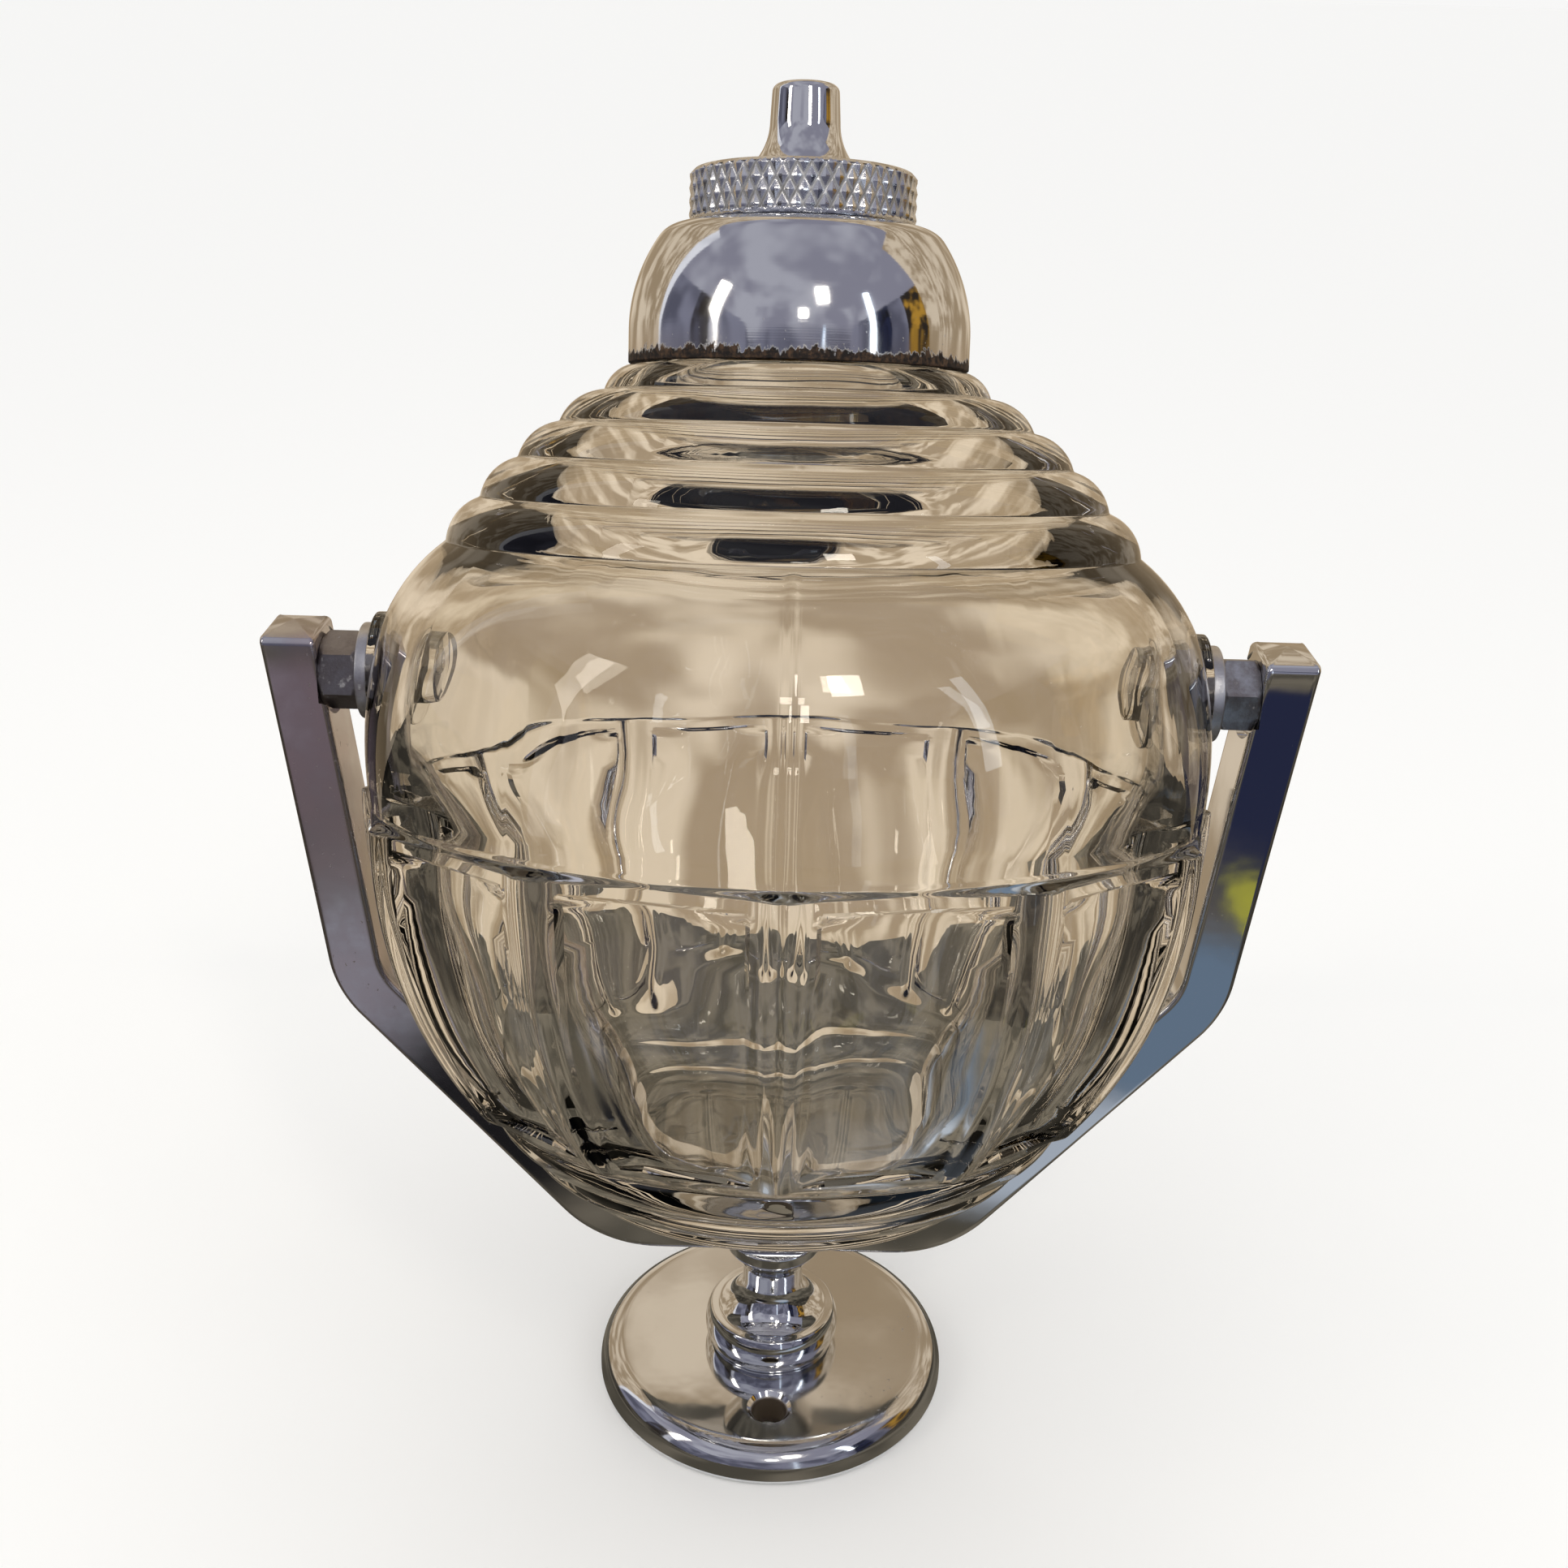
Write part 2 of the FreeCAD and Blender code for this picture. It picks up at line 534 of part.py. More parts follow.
def glass_hollow():
    """Smooth space inside the glass, from the floor to the mouth of the neck."""
    floor = -BASE_DROP + BASE_THICKNESS
    belly = (LEDGE_RADIUS - GLASS_WALL - PANEL_RECESS, -LEDGE_DROP)
    brow = (BROW_RADIUS - GLASS_WALL, BROW_HEIGHT)
    shoulder = (SHOULDER_FOOT_RADIUS - GLASS_WALL, SHOULDER_FOOT_HEIGHT - GLASS_WALL / 2)
    hollow = Outline(0, floor).line(BASE_RADIUS, floor)
    hollow.arc(*belly, tangent_bulge(belly[1] - floor, belly[0] - BASE_RADIUS))
    hollow.arc(*brow, belly_bulge(GLOBE_RADIUS - GLASS_WALL, belly, brow))
    hollow.arc(*shoulder, brow_bulge(brow[0] - shoulder[0], shoulder[1] - brow[1]))
    hollow.line(NECK_BORE_RADIUS, NECK_BASE_HEIGHT - GLASS_WALL).line(NECK_BORE_RADIUS, LIP_HEIGHT)
    return hollow.line(0, LIP_HEIGHT).turned()


def make_glass_globe():
    """Moulded globe: turned top, ribbed and panelled sides, ringed foot, hollow, with flat pivot pads."""
    globe = glass_upper().fuse(glass_lower()).fuse(glass_foot())
    cutter = panel_cutter()
    cutters = []
    for side in range(SIDE_COUNT):
        copy = cutter.copy()
        copy.rotate(ORIGIN, Z_AXIS, 360 / SIDE_COUNT * (side + 0.5))
        cutters.append(copy)
    globe = globe.cut(cutters)
    hollow = glass_hollow()
    cuts = []
    for side in (-1, 1):
        boss = rod(SOCKET_RADIUS + SOCKET_WALL, *sorted((side * (SOCKET_X - SOCKET_WALL), side * PAD_X)))
        pad = rod(PAD_RADIUS, *sorted((side * SOCKET_X, side * PAD_X)))
        cuts.append(rod(PAD_RADIUS, *sorted((side * PAD_X, side * ARM_HALF_SPAN))))
        cuts.append(rod(SOCKET_RADIUS, *sorted((side * SOCKET_X, side * PAD_X))))
        hollow = hollow.cut(boss)
        globe = globe.fuse(pad)
    return globe.cut([hollow] + cuts)


def make_cap_dome():
    """Chromed dome: straight skirt, round dome, flat roof with the nipple's hole."""
    skirt_top = CAP_FOOT + CAP_SKIRT_HEIGHT
    rise = CAP_HEIGHT - CAP_SKIRT_HEIGHT - CAP_EDGE_DROP
    edge_radius = CAP_RADIUS - CAP_DOME_RADIUS + math.sqrt(CAP_DOME_RADIUS ** 2 - rise ** 2)
    dome_bulge = tangent_bulge(rise, CAP_RADIUS - edge_radius)
    hole = NIPPLE_RADIUS + NIPPLE_FIT
    ceiling = CAP_TOP - CAP_WALL
    dome = Outline(CAP_BORE_RADIUS, CAP_FOOT).line(CAP_RADIUS, CAP_FOOT).line(CAP_RADIUS, skirt_top)
    dome.arc(edge_radius, skirt_top + rise, dome_bulge).arc(CAP_TOP_RADIUS, CAP_TOP, CAP_EDGE_BULGE)
    dome.line(hole, CAP_TOP).line(hole, ceiling).line(CAP_TOP_RADIUS - CAP_WALL, ceiling)
    return dome.arc(CAP_BORE_RADIUS, THREAD_RING_TOP, -CAP_HOLLOW_BULGE).turned()


def make_cap_thread_ring():
    """Threaded ring fixed in the skirt, with a lip above that presses on the seal."""
    outer = CAP_BORE_RADIUS - THREAD_RING_FIT
    foot = CAP_FOOT + THREAD_RING_INSET
    ring = Outline(RING_BORE_RADIUS, foot).line(outer, foot).line(outer, THREAD_RING_TOP)
    ring.line(NECK_BORE_RADIUS, THREAD_RING_TOP).line(NECK_BORE_RADIUS, RING_LIP_FOOT)
    return ring.line(RING_BORE_RADIUS, RING_LIP_FOOT).turned()


def make_cap_gasket():
    """Rubber ring on the glass lip."""
    return tube(NECK_RADIUS, NECK_BORE_RADIUS, GASKET_FOOT, GASKET_FOOT + GASKET_THICKNESS)


def make_gasket_slip_ring():
    """Thin ring between gasket and cap, so that the turning cap doesn't drag the rubber."""
    return tube(NECK_RADIUS, NECK_BORE_RADIUS, SLIP_RING_FOOT, SLIP_RING_FOOT + SLIP_RING_THICKNESS)


def make_cap_nipple():
    """Threaded nipple held in the dome's roof by its inner flange, bored for the soap."""
    ceiling = CAP_TOP - CAP_WALL
    flange_foot = ceiling - NIPPLE_FLANGE_THICKNESS
    flange_radius = NIPPLE_RADIUS + NIPPLE_FLANGE_WIDTH
    funnel_radius = NIPPLE_RADIUS - NIPPLE_FLANGE_WIDTH
    nipple = Outline(funnel_radius, flange_foot).line(flange_radius, flange_foot)
    nipple.line(flange_radius, ceiling).line(NIPPLE_RADIUS, ceiling).line(NIPPLE_RADIUS, NIPPLE_TOP)
    return nipple.line(SOAP_BORE_RADIUS, NIPPLE_TOP).line(SOAP_BORE_RADIUS, CAP_TOP).turned()


def make_nozzle_gasket():
    """Washer between the nipple and the nozzle's flange."""
    return tube(NIPPLE_RADIUS - THREAD_CLEARANCE, SOAP_BORE_RADIUS, NIPPLE_TOP, NOZZLE_FLANGE_FOOT)


def make_knurled_collar():
    """Union ring that screws onto the nipple and holds the nozzle down; its rim carries the knurl."""
    bore = NIPPLE_RADIUS + THREAD_CLEARANCE
    mouth = NOZZLE_ROOT_RADIUS + NOZZLE_ROOT_CLEARANCE
    roof = COLLAR_TOP - COLLAR_ROOF
    collar = Outline(bore, COLLAR_FOOT).line(COLLAR_RADIUS - COLLAR_BEVEL, COLLAR_FOOT)
    collar.line(COLLAR_RADIUS, COLLAR_FOOT + COLLAR_BEVEL).line(COLLAR_RADIUS, COLLAR_TOP - COLLAR_BEVEL)
    collar.line(COLLAR_RADIUS - COLLAR_BEVEL, COLLAR_TOP).line(mouth, COLLAR_TOP)
    return collar.line(mouth, roof).line(bore, roof).turned()


def make_nozzle():
    """Turned nozzle: flange under the collar, flared root, slim tip with a rounded rim, bored through."""
    flange_radius = NIPPLE_RADIUS - THREAD_CLEARANCE
    waist = COLLAR_TOP + NOZZLE_FLARE_HEIGHT
    flare_hollow = tangent_bulge(NOZZLE_FLARE_HEIGHT, NOZZLE_ROOT_RADIUS - NOZZLE_WAIST_RADIUS)
    rim_foot = NOZZLE_TOP - NOZZLE_TIP_ROUND
    rim_radius = NOZZLE_TIP_RADIUS - NOZZLE_TIP_ROUND
    rim_bulge = NOZZLE_TIP_ROUND * (1 - math.sqrt(0.5))
    nozzle = Outline(SOAP_BORE_RADIUS, NOZZLE_FLANGE_FOOT).line(flange_radius, NOZZLE_FLANGE_FOOT)
    nozzle.line(flange_radius, NOZZLE_FLANGE_TOP).line(NOZZLE_ROOT_RADIUS, NOZZLE_FLANGE_TOP)
    nozzle.line(NOZZLE_ROOT_RADIUS, COLLAR_TOP).arc(NOZZLE_WAIST_RADIUS, waist, -flare_hollow)
    nozzle.line(NOZZLE_TIP_RADIUS, rim_foot).arc(rim_radius, NOZZLE_TOP, rim_bulge)
    return nozzle.line(SOAP_BORE_RADIUS, NOZZLE_TOP).turned()


# Assembly


def on_pivot_line(shape, side):
    """A piece of the right pivot put on the pivot line, or turned round to the left if side is -1."""
    if side < 0:
        shape.rotate(ORIGIN, Z_AXIS, 180)
    shape.translate(Vector(0, 0, PIVOT_Z))
    return shape


def leaning(shape):
    """A piece of the globe, leaned back about the pivot line."""
    shape.rotate(ORIGIN, X_AXIS, -GLOBE_LEAN)
    shape.translate(Vector(0, 0, PIVOT_Z))
    return shape


def make_pieces():
    """Every piece by the name of its node, in its place."""
    pieces = {
        "base_flange": make_base_flange(),
        "stem": make_stem(),
        "stem_bolt": make_stem_bolt(),
        "stem_lock_washer": make_stem_lock_washer(),
        "yoke": make_yoke(),
    }
    for name, side in (("left", -1), ("right", 1)):
        pieces["pivot_screw_" + name] = on_pivot_line(make_pivot_screw(), side)
        pieces["pivot_nut_" + name] = on_pivot_line(make_pivot_nut(), side)
        pieces["pivot_washer_" + name] = on_pivot_line(make_pivot_washer(), side)
    globe_pieces = {
        "glass_globe": make_glass_globe(),
        "cap_gasket": make_cap_gasket(),
        "gasket_slip_ring": make_gasket_slip_ring(),
        "cap_thread_ring": make_cap_thread_ring(),
        "cap_dome": make_cap_dome(),
        "cap_nipple": make_cap_nipple(),
        "nozzle_gasket": make_nozzle_gasket(),
        "nozzle": make_nozzle(),
        "knurled_collar": make_knurled_collar(),
    }
    for name, shape in globe_pieces.items():
        pieces[name] = leaning(shape)
    return pieces


os.makedirs("parts", exist_ok=True)
for node, solid in make_pieces().items():
    if solid.ShapeType == "Compound" and len(solid.Solids) == 1:
        solid = solid.Solids[0]
    print(node, solid.ShapeType, "valid", solid.isValid(), "volume", round(solid.Volume, 1))
    solid.exportStep("parts/" + node + ".step")
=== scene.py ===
import json
import math

import bpy
import numpy as np
from mathutils import Matrix, Vector


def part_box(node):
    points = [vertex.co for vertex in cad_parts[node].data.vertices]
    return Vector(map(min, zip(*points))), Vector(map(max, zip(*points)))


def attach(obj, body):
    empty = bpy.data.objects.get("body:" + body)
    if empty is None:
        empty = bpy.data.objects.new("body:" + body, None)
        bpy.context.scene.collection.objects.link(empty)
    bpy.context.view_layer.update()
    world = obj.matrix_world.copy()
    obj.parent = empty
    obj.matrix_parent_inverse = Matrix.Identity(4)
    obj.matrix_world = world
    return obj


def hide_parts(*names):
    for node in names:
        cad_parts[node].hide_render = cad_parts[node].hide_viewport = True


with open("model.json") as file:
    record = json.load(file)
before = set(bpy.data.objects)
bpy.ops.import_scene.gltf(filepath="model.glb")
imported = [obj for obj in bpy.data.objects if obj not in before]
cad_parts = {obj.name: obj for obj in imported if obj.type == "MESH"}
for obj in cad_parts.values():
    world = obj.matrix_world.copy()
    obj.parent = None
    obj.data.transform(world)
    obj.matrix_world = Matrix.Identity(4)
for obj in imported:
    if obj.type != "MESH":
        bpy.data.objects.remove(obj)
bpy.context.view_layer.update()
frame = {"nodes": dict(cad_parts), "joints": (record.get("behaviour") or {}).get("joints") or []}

# A tip-and-pour soap dispenser: a moulded glass globe with a chromed screw cap, hung
# in a chromed yoke on a turned stem and a round flange. Shapes are worked out in
# millimetres, upright about the Z axis, and put in their place as the last step.
MM = 0.001
JOINTS = {joint["name"]: joint for joint in frame["joints"]}
PIVOT = np.array(JOINTS["globe_tilt"]["pos_m"])
POUR_AXIS = np.array(JOINTS["cap_turn"]["axis"])
GLOBE_LEAN = math.atan2(POUR_AXIS[1], POUR_AXIS[2])
GLOBE_TURN = np.array(Matrix.Rotation(-GLOBE_LEAN, 3, "X"))
FULL_TURN = 2 * math.pi


def leaned(points):
    """Points of the globe's own frame, in millimetres from the pivot, put in the row frame."""
    return points @ GLOBE_TURN.T * MM + PIVOT


def standing(points):
    """Points measured from the middle of the flange's underside, put in the row frame."""
    return points * MM


def globe_box(node):
    """Lowest and highest corner of a CAD node in the globe's own frame, in millimetres."""
    mesh = frame["nodes"][node].data
    points = np.empty(3 * len(mesh.vertices), np.float32)
    mesh.vertices.foreach_get("co", points)
    own = (points.reshape(-1, 3) - PIVOT) @ GLOBE_TURN / MM
    return own.min(axis=0), own.max(axis=0)


def stand_box(node):
    """Lowest and highest corner of a CAD node of the stand, in millimetres."""
    low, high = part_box(node)
    return np.array(low) / MM, np.array(high) / MM


# Profiles and surfaces

FINE_STEP = 0.05
CREASE = 35.0


class Trace:
    """A profile of (radius, height) points, drawn with lines and arcs and sampled finely."""

    def __init__(self, radius, height):
        self.path = np.array([[radius, height]], float)

    def line(self, radius, height):
        """A straight run to (radius, height)."""
        return self.arc(radius, height, 0)

    def arc(self, radius, height, bulge):
        """An arc to (radius, height) that swells by bulge to the right of the way there."""
        start = self.path[-1]
        end = np.array([radius, height], float)
        chord = end - start
        length = np.hypot(*chord)
        along = chord / length
        right = np.array([along[1], -along[0]])
        share = np.linspace(-1, 1, max(3, int(length / FINE_STEP)))[1:, None]
        half_turn = 2 * math.atan(2 * bulge / length)
        if abs(half_turn) < 1e-9:
            forward, aside = share * length / 2, 0 * share
        else:
            bend = length / 2 / math.sin(half_turn)
            forward = bend * np.sin(half_turn * share)
            aside = bend * (np.cos(half_turn * share) - math.cos(half_turn))
        self.path = np.concatenate([self.path, (start + end) / 2 + forward * along + aside * right])
        return self

    def points(self, soft, reach, turn=9.0, ring=False):
        """The profile with its corners eased over soft, as points at most reach apart and turn degrees.

        Easing is a moving average along the path, weighted by a raised cosine, and reach may be a
        function that gives the spacing from an array of path points. A ring closes on itself.
        """
        path = self.path
        if ring:
            path = np.concatenate([path, Trace(*path[-1]).line(*path[0]).path[1:]])
        weights = np.hanning(2 * round(soft / FINE_STEP) + 3)[1:-1]
        margin = len(weights) // 2
        if ring:
            padded = np.concatenate([path[-margin - 1:-1], path, path[1:margin + 1]])
        else:
            head = 2 * path[0] - path[margin:0:-1]
            tail = 2 * path[-1] - path[-2:-margin - 2:-1]
            padded = np.concatenate([head, path, tail])
        weights = weights / weights.sum()
        eased = np.stack([np.convolve(padded[:, side], weights, "valid") for side in (0, 1)], axis=1)
        step = np.diff(eased, axis=0)
        heading = np.unwrap(np.arctan2(step[:, 1], step[:, 0]))
        spacing = reach(eased[1:]) if callable(reach) else reach
        need = np.hypot(*step.T) / spacing
        need[1:] += np.abs(np.diff(heading)) / math.radians(turn)
        total = np.concatenate([[0], np.cumsum(need)])
        marks = np.linspace(0, total[-1], math.ceil(total[-1]) + 1)
        picked = np.stack([np.interp(marks, total, eased[:, side]) for side in (0, 1)], axis=1)
        return picked[:-1] if ring else picked


def tangent_bulge(span, aside):
    """Bulge of the arc that sets out along one direction, and ends span along it and aside from it."""
    return math.hypot(span, aside) / 2 * math.tan(math.atan2(aside, span) / 2)


def arc_marks(start, end, arch, count):
    """Points that divide the arc from start to end, which rises by arch on its right, in equal parts."""
    path = Trace(*start).arc(*end, arch).path
    length = np.concatenate([[0], np.cumsum(np.hypot(*np.diff(path, axis=0).T))])
    marks = np.linspace(0, length[-1], count + 1)
    return [(np.interp(mark, length, path[:, 0]), np.interp(mark, length, path[:, 1])) for mark in marks]


def smooth_step(low, high, values):
    """0 below low, 1 above high, and a soft S between."""
    share = np.clip((values - low) / (high - low), 0, 1)
    return share * share * (3 - 2 * share)


def turned(profile, angles, shape=None):
    """Surface of revolution: the profile's radii and heights carried round the Z axis through the angles.

    shape, where given, returns changed radii from the arrays of radius, height and angle.
    """
    radius, height = (profile[:, side][:, None] + 0 * angles for side in (0, 1))
    around = angles + 0 * radius
    if shape is not None:
        radius = shape(radius, height, around)
    return np.stack([radius * np.cos(around), radius * np.sin(around), height], axis=-1)


def evenly(count):
    """Angles of one full turn in equal steps."""
    return np.arange(count) * FULL_TURN / count


def along_x(points):
    """Points of a shape on the Z axis, turned so that the shape lies along +X."""
    return np.stack([points[..., 2], points[..., 0], points[..., 1]], axis=-1)


def mesh_of(name, grid, ring, **marks):
    """Mesh of a grid of points that closes round along its columns.

    The rows of a ring close too; other grids end in two poles, the first and the last row.
    Faces are turned outwards by the sign of the enclosed volume. marks are point attributes.
    """
    columns = grid.shape[1]
    body = grid if ring else grid[1:-1]
    points = body.reshape(-1, 3)
    index = np.arange(len(points)).reshape(-1, columns)
    lower = index if ring else index[:-1]
    upper = np.roll(index, -1, axis=0) if ring else index[1:]
    quads = np.stack([lower, np.roll(lower, -1, 1), np.roll(upper, -1, 1), upper], -1).reshape(-1, 4)
    fans = np.empty((0, 3), int)
    if not ring:
        first, last = len(points), len(points) + 1
        points = np.concatenate([points, grid[:1, 0], grid[-1:, 0]])
        foot = np.stack([0 * index[0] + first, np.roll(index[0], -1), index[0]], -1)
        head = np.stack([0 * index[-1] + last, index[-1], np.roll(index[-1], -1)], -1)
        fans = np.concatenate([foot, head])
    halves = np.concatenate([quads[:, :3], quads[:, [0, 2, 3]], fans])
    corner_a, corner_b, corner_c = (points[halves[:, side]] for side in range(3))
    if np.einsum("ij,ij->", corner_a, np.cross(corner_b, corner_c)) < 0:
        quads, fans = quads[:, ::-1], fans[:, ::-1]
    mesh = bpy.data.meshes.new(name)
    mesh.from_pydata(points.tolist(), [], quads.tolist() + fans.tolist())
    for mark, values in marks.items():
        flat = values if ring else values[1:-1]
        flat = flat.ravel()
        if not ring:
            flat = np.concatenate([flat, values[:1, 0], values[-1:, 0]])
        mesh.attributes.new(mark, "FLOAT", "POINT").data.foreach_set("value", flat.astype(np.float32))
    mesh.shade_smooth()
    mesh.set_sharp_from_angle(angle=math.radians(CREASE))
    return mesh


def carved(mesh, tools):
    """The mesh with each tool mesh joined to it or cut from it."""
    body = bpy.data.objects.new("body", mesh)
    bpy.context.scene.collection.objects.link(body)
    helpers = []
    for operation, tool in tools:
        helper = bpy.data.objects.new("tool", tool)
        bpy.context.scene.collection.objects.link(helper)
        modifier = body.modifiers.new(operation, "BOOLEAN")
        modifier.operation = operation
        modifier.solver = "MANIFOLD"
        modifier.object = helper
        helpers.append(helper)
    bpy.context.view_layer.update()
    result = bpy.data.meshes.new_from_object(body.evaluated_get(bpy.context.evaluated_depsgraph_get()))
    result.materials.clear()
    result.shade_smooth()
    result.set_sharp_from_angle(angle=math.radians(CREASE))
    for helper in [body] + helpers:
        bpy.data.objects.remove(helper)
    return result


def add_piece(name, mesh, finish, body, node):
    """Puts a finished mesh into the scene in place of a CAD node, on that node's body."""
    piece = bpy.data.objects.new(name, mesh)
    bpy.context.scene.collection.objects.link(piece)
    mesh.name = name
    mesh.materials.append(finish)
    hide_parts(node)
    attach(piece, body)


# Finishes


class Signal:
    """A socket inside a finish; sums on it add Math nodes."""

    def __init__(self, finish, socket):
        self.finish = finish
        self.socket = socket

    def math(self, operation, first, second):
        """A Math node on two values."""
        return self.finish.node("ShaderNodeMath", {"operation": operation}, {0: first, 1: second})

    def __add__(self, other):
        return self.math("ADD", self, other)

    def __radd__(self, other):
        return self.math("ADD", other, self)

    def __sub__(self, other):
        return self.math("SUBTRACT", self, other)

    def __rsub__(self, other):
        return self.math("SUBTRACT", other, self)

    def __mul__(self, other):
        return self.math("MULTIPLY", self, other)

    def __rmul__(self, other):
        return self.math("MULTIPLY", other, self)

    def larger(self, other):
        """The larger of two values."""
        return self.math("MAXIMUM", self, other)

    def between(self, low, high):
        """0 at low, 1 at high, with a soft S between."""
        settings = {"interpolation_type": "SMOOTHSTEP"}
        sockets = {"Value": self, "From Min": low, "From Max": high}
        return self.finish.node("ShaderNodeMapRange", settings, sockets)


class Finish:
    """A procedural material under construction."""

    def __init__(self, name):
        self.material = bpy.data.materials.new(name)
        self.material.use_nodes = True
        self.tree = self.material.node_tree
        self.tree.nodes.clear()

    def node(self, kind, settings=None, sockets=None, output=0):
        """Adds a node with its settings and socket values or links, and returns one output."""
        made = self.tree.nodes.new(kind)
        for key, value in (settings or {}).items():
            setattr(made, key, value)
        for key, value in (sockets or {}).items():
            if isinstance(value, Signal):
                self.tree.links.new(value.socket, made.inputs[key])
            else:
                made.inputs[key].default_value = value
        return Signal(self, made.outputs[output]) if made.outputs else None

    def place(self, stretch=(1, 1, 1)):
        """Object coordinates, stretched as a pattern needs."""
        here = self.node("ShaderNodeTexCoord", output="Object")
        return self.node("ShaderNodeMapping", None, {"Vector": here, "Scale": stretch})

    def vector(self, operation, first, second):
        """A Vector Math node on two vectors."""
        return self.node("ShaderNodeVectorMath", {"operation": operation}, {0: first, 1: second})

    def length(self, vector):
        """The length of a vector."""
        return self.node("ShaderNodeVectorMath", {"operation": "LENGTH"}, {0: vector}, "Value")

    def noise(self, place, size, detail=3.0, rough=0.55):
        """Cloudy noise from 0 to 1 with features of about size millimetres."""
        sockets = {"Vector": place, "Scale": 1 / (size * MM), "Detail": detail, "Roughness": rough}
        return self.node("ShaderNodeTexNoise", None, sockets)

    def hairlines(self, stretch):
        """Fine scratches: noise that is squeezed along the axes that stretch names."""
        return self.noise(self.place(stretch), HAIR_SIZE, detail=4, rough=0.7)

    def mark(self, name):
        """A value that the mesh carries at its points."""
        return self.node("ShaderNodeAttribute", {"attribute_name": name}, None, "Fac")

    def blend(self, share, first, second):
        """A colour between two colours."""
        sockets = {"Factor": share, 6: first, 7: second}
        return self.node("ShaderNodeMix", {"data_type": "RGBA"}, sockets, 2)

    def bump(self, height, depth):
        """A normal from a height field that is depth millimetres deep."""
        sockets = {"Height": height, "Distance": depth * MM, "Strength": 1.0}
        return self.node("ShaderNodeBump", None, sockets)

    def done(self, sockets):
        """Closes the finish with a Principled shader."""
        shader = self.node("ShaderNodeBsdfPrincipled", None, sockets)
        self.node("ShaderNodeOutputMaterial", None, {"Surface": shader})
        return self.material


def rgb(red, green, blue):
    """An opaque colour."""
    return (red, green, blue, 1.0)


CHROME_TONE = rgb(0.72, 0.73, 0.75)
CHROME_DULL = rgb(0.50, 0.48, 0.47)
PIT_TONE = rgb(0.10, 0.075, 0.055)
POLISH = 0.035
PLATE_RELIEF = 0.03
HAIR_SIZE = 5
LEVEL_HAIRS = (1, 1, 14)
YOKE_HAIRS = (1, 14, 1)
WORN_ARM = (-0.060, -0.020)
# Painted shade in the screw holes' bores: full within the first reach of a hole's axis, gone at the end.
BORE_SHADE_REACH = 2.85
BORE_SHADE_END = 3.2


def chrome(name, dullness, pitting, holes=()):
    """Polished chrome plate with faint polishing waves, breath-like haze, hairlines and fine pits.

    holes are the (x, y) places of upright holes, whose bores are painted dark as shade.
    """
    finish = Finish(name)
    place = finish.place()
    haze = finish.noise(place, 14, 4)
    hairs = finish.hairlines(LEVEL_HAIRS)
    specks = finish.noise(place, 0.7, 2).between(0.70 - 0.10 * pitting, 0.76)
    pits = specks * haze.between(0.62 - 0.25 * pitting, 0.80)
    waves = finish.noise(place, 7, 2) + 0.05 * hairs
    # Real pits, plus painted shade in each hole's bore and at the start of its countersink.
    pits_and_bore_shade = pits
    for x, y in holes:
        offset = finish.vector("SUBTRACT", place, (x, y, 0))
        reach = finish.length(finish.vector("MULTIPLY", offset, (1, 1, 0)))
        pits_and_bore_shade = pits_and_bore_shade.larger(1.0 - reach.between(BORE_SHADE_REACH * MM, BORE_SHADE_END * MM))
    roughness = POLISH + dullness * haze.between(0.35, 0.75) + 0.03 * hairs + 0.3 * pits_and_bore_shade
    plate = finish.blend(haze.between(0.4, 0.9) * (0.25 + dullness), CHROME_TONE, CHROME_DULL)
    return finish.done({
        "Base Color": finish.blend(pits_and_bore_shade, plate, PIT_TONE),
        "Metallic": 1.0 - 0.6 * pits_and_bore_shade,
        "Roughness": roughness,
        "Normal": finish.bump(waves - 0.4 * pits, PLATE_RELIEF),
    })


def cap_chrome(name):
    """Chrome with a corroded hem: dark rust and pits that thin out a few millimetres above the edge."""
    finish = Finish(name)
    place = finish.place()
    haze = finish.noise(place, 12, 4)
    hairs = finish.hairlines(LEVEL_HAIRS)
    rise = finish.mark("rise")
    fingers = finish.noise(finish.place((1, 1, 0.4)), 1.5, 4, 0.7)
    spread = 2.5 + 5.0 * finish.noise(place, 7, 3).between(0.35, 0.70)
    crust = finish.noise(place, 0.9, 4, 0.75)
    rust = 1.0 - (rise - spread * (fingers - 0.36)).between(-0.4, 1.8)
    freckles = finish.noise(place, 0.6, 2).between(0.70, 0.76) * (1.0 - rise.between(2.0, 7.0))
    decay = (rust + 0.9 * (crust - 0.5)).between(0.30, 0.60).larger(0.9 * freckles)
    stain = (1.0 - rise.between(0.0, 5.0)) * haze.between(0.3, 0.7)
    black_rust, brown_rust = rgb(0.012, 0.009, 0.008), rgb(0.085, 0.045, 0.022)
    rust_tone = finish.blend(crust.between(0.40, 0.70), black_rust, brown_rust)
    plate = finish.blend(0.5 * stain, CHROME_TONE, rgb(0.52, 0.44, 0.36))
    turning = {"W": rise, "Scale": 3.0, "Detail": 3.0}
    lathe = finish.node("ShaderNodeTexNoise", {"noise_dimensions": "1D"}, turning)
    waves = finish.noise(place, 8, 2) + 0.05 * lathe
    roughness = POLISH + 0.05 * haze.between(0.4, 0.8) + 0.03 * hairs + 0.1 * stain + 0.6 * decay
    return finish.done({
        "Base Color": finish.blend(decay, plate, rust_tone),
        "Metallic": 1.0 - decay,
        "Specular IOR Level": 0.25,
        "Roughness": roughness,
        "Normal": finish.bump(waves, PLATE_RELIEF),
    })


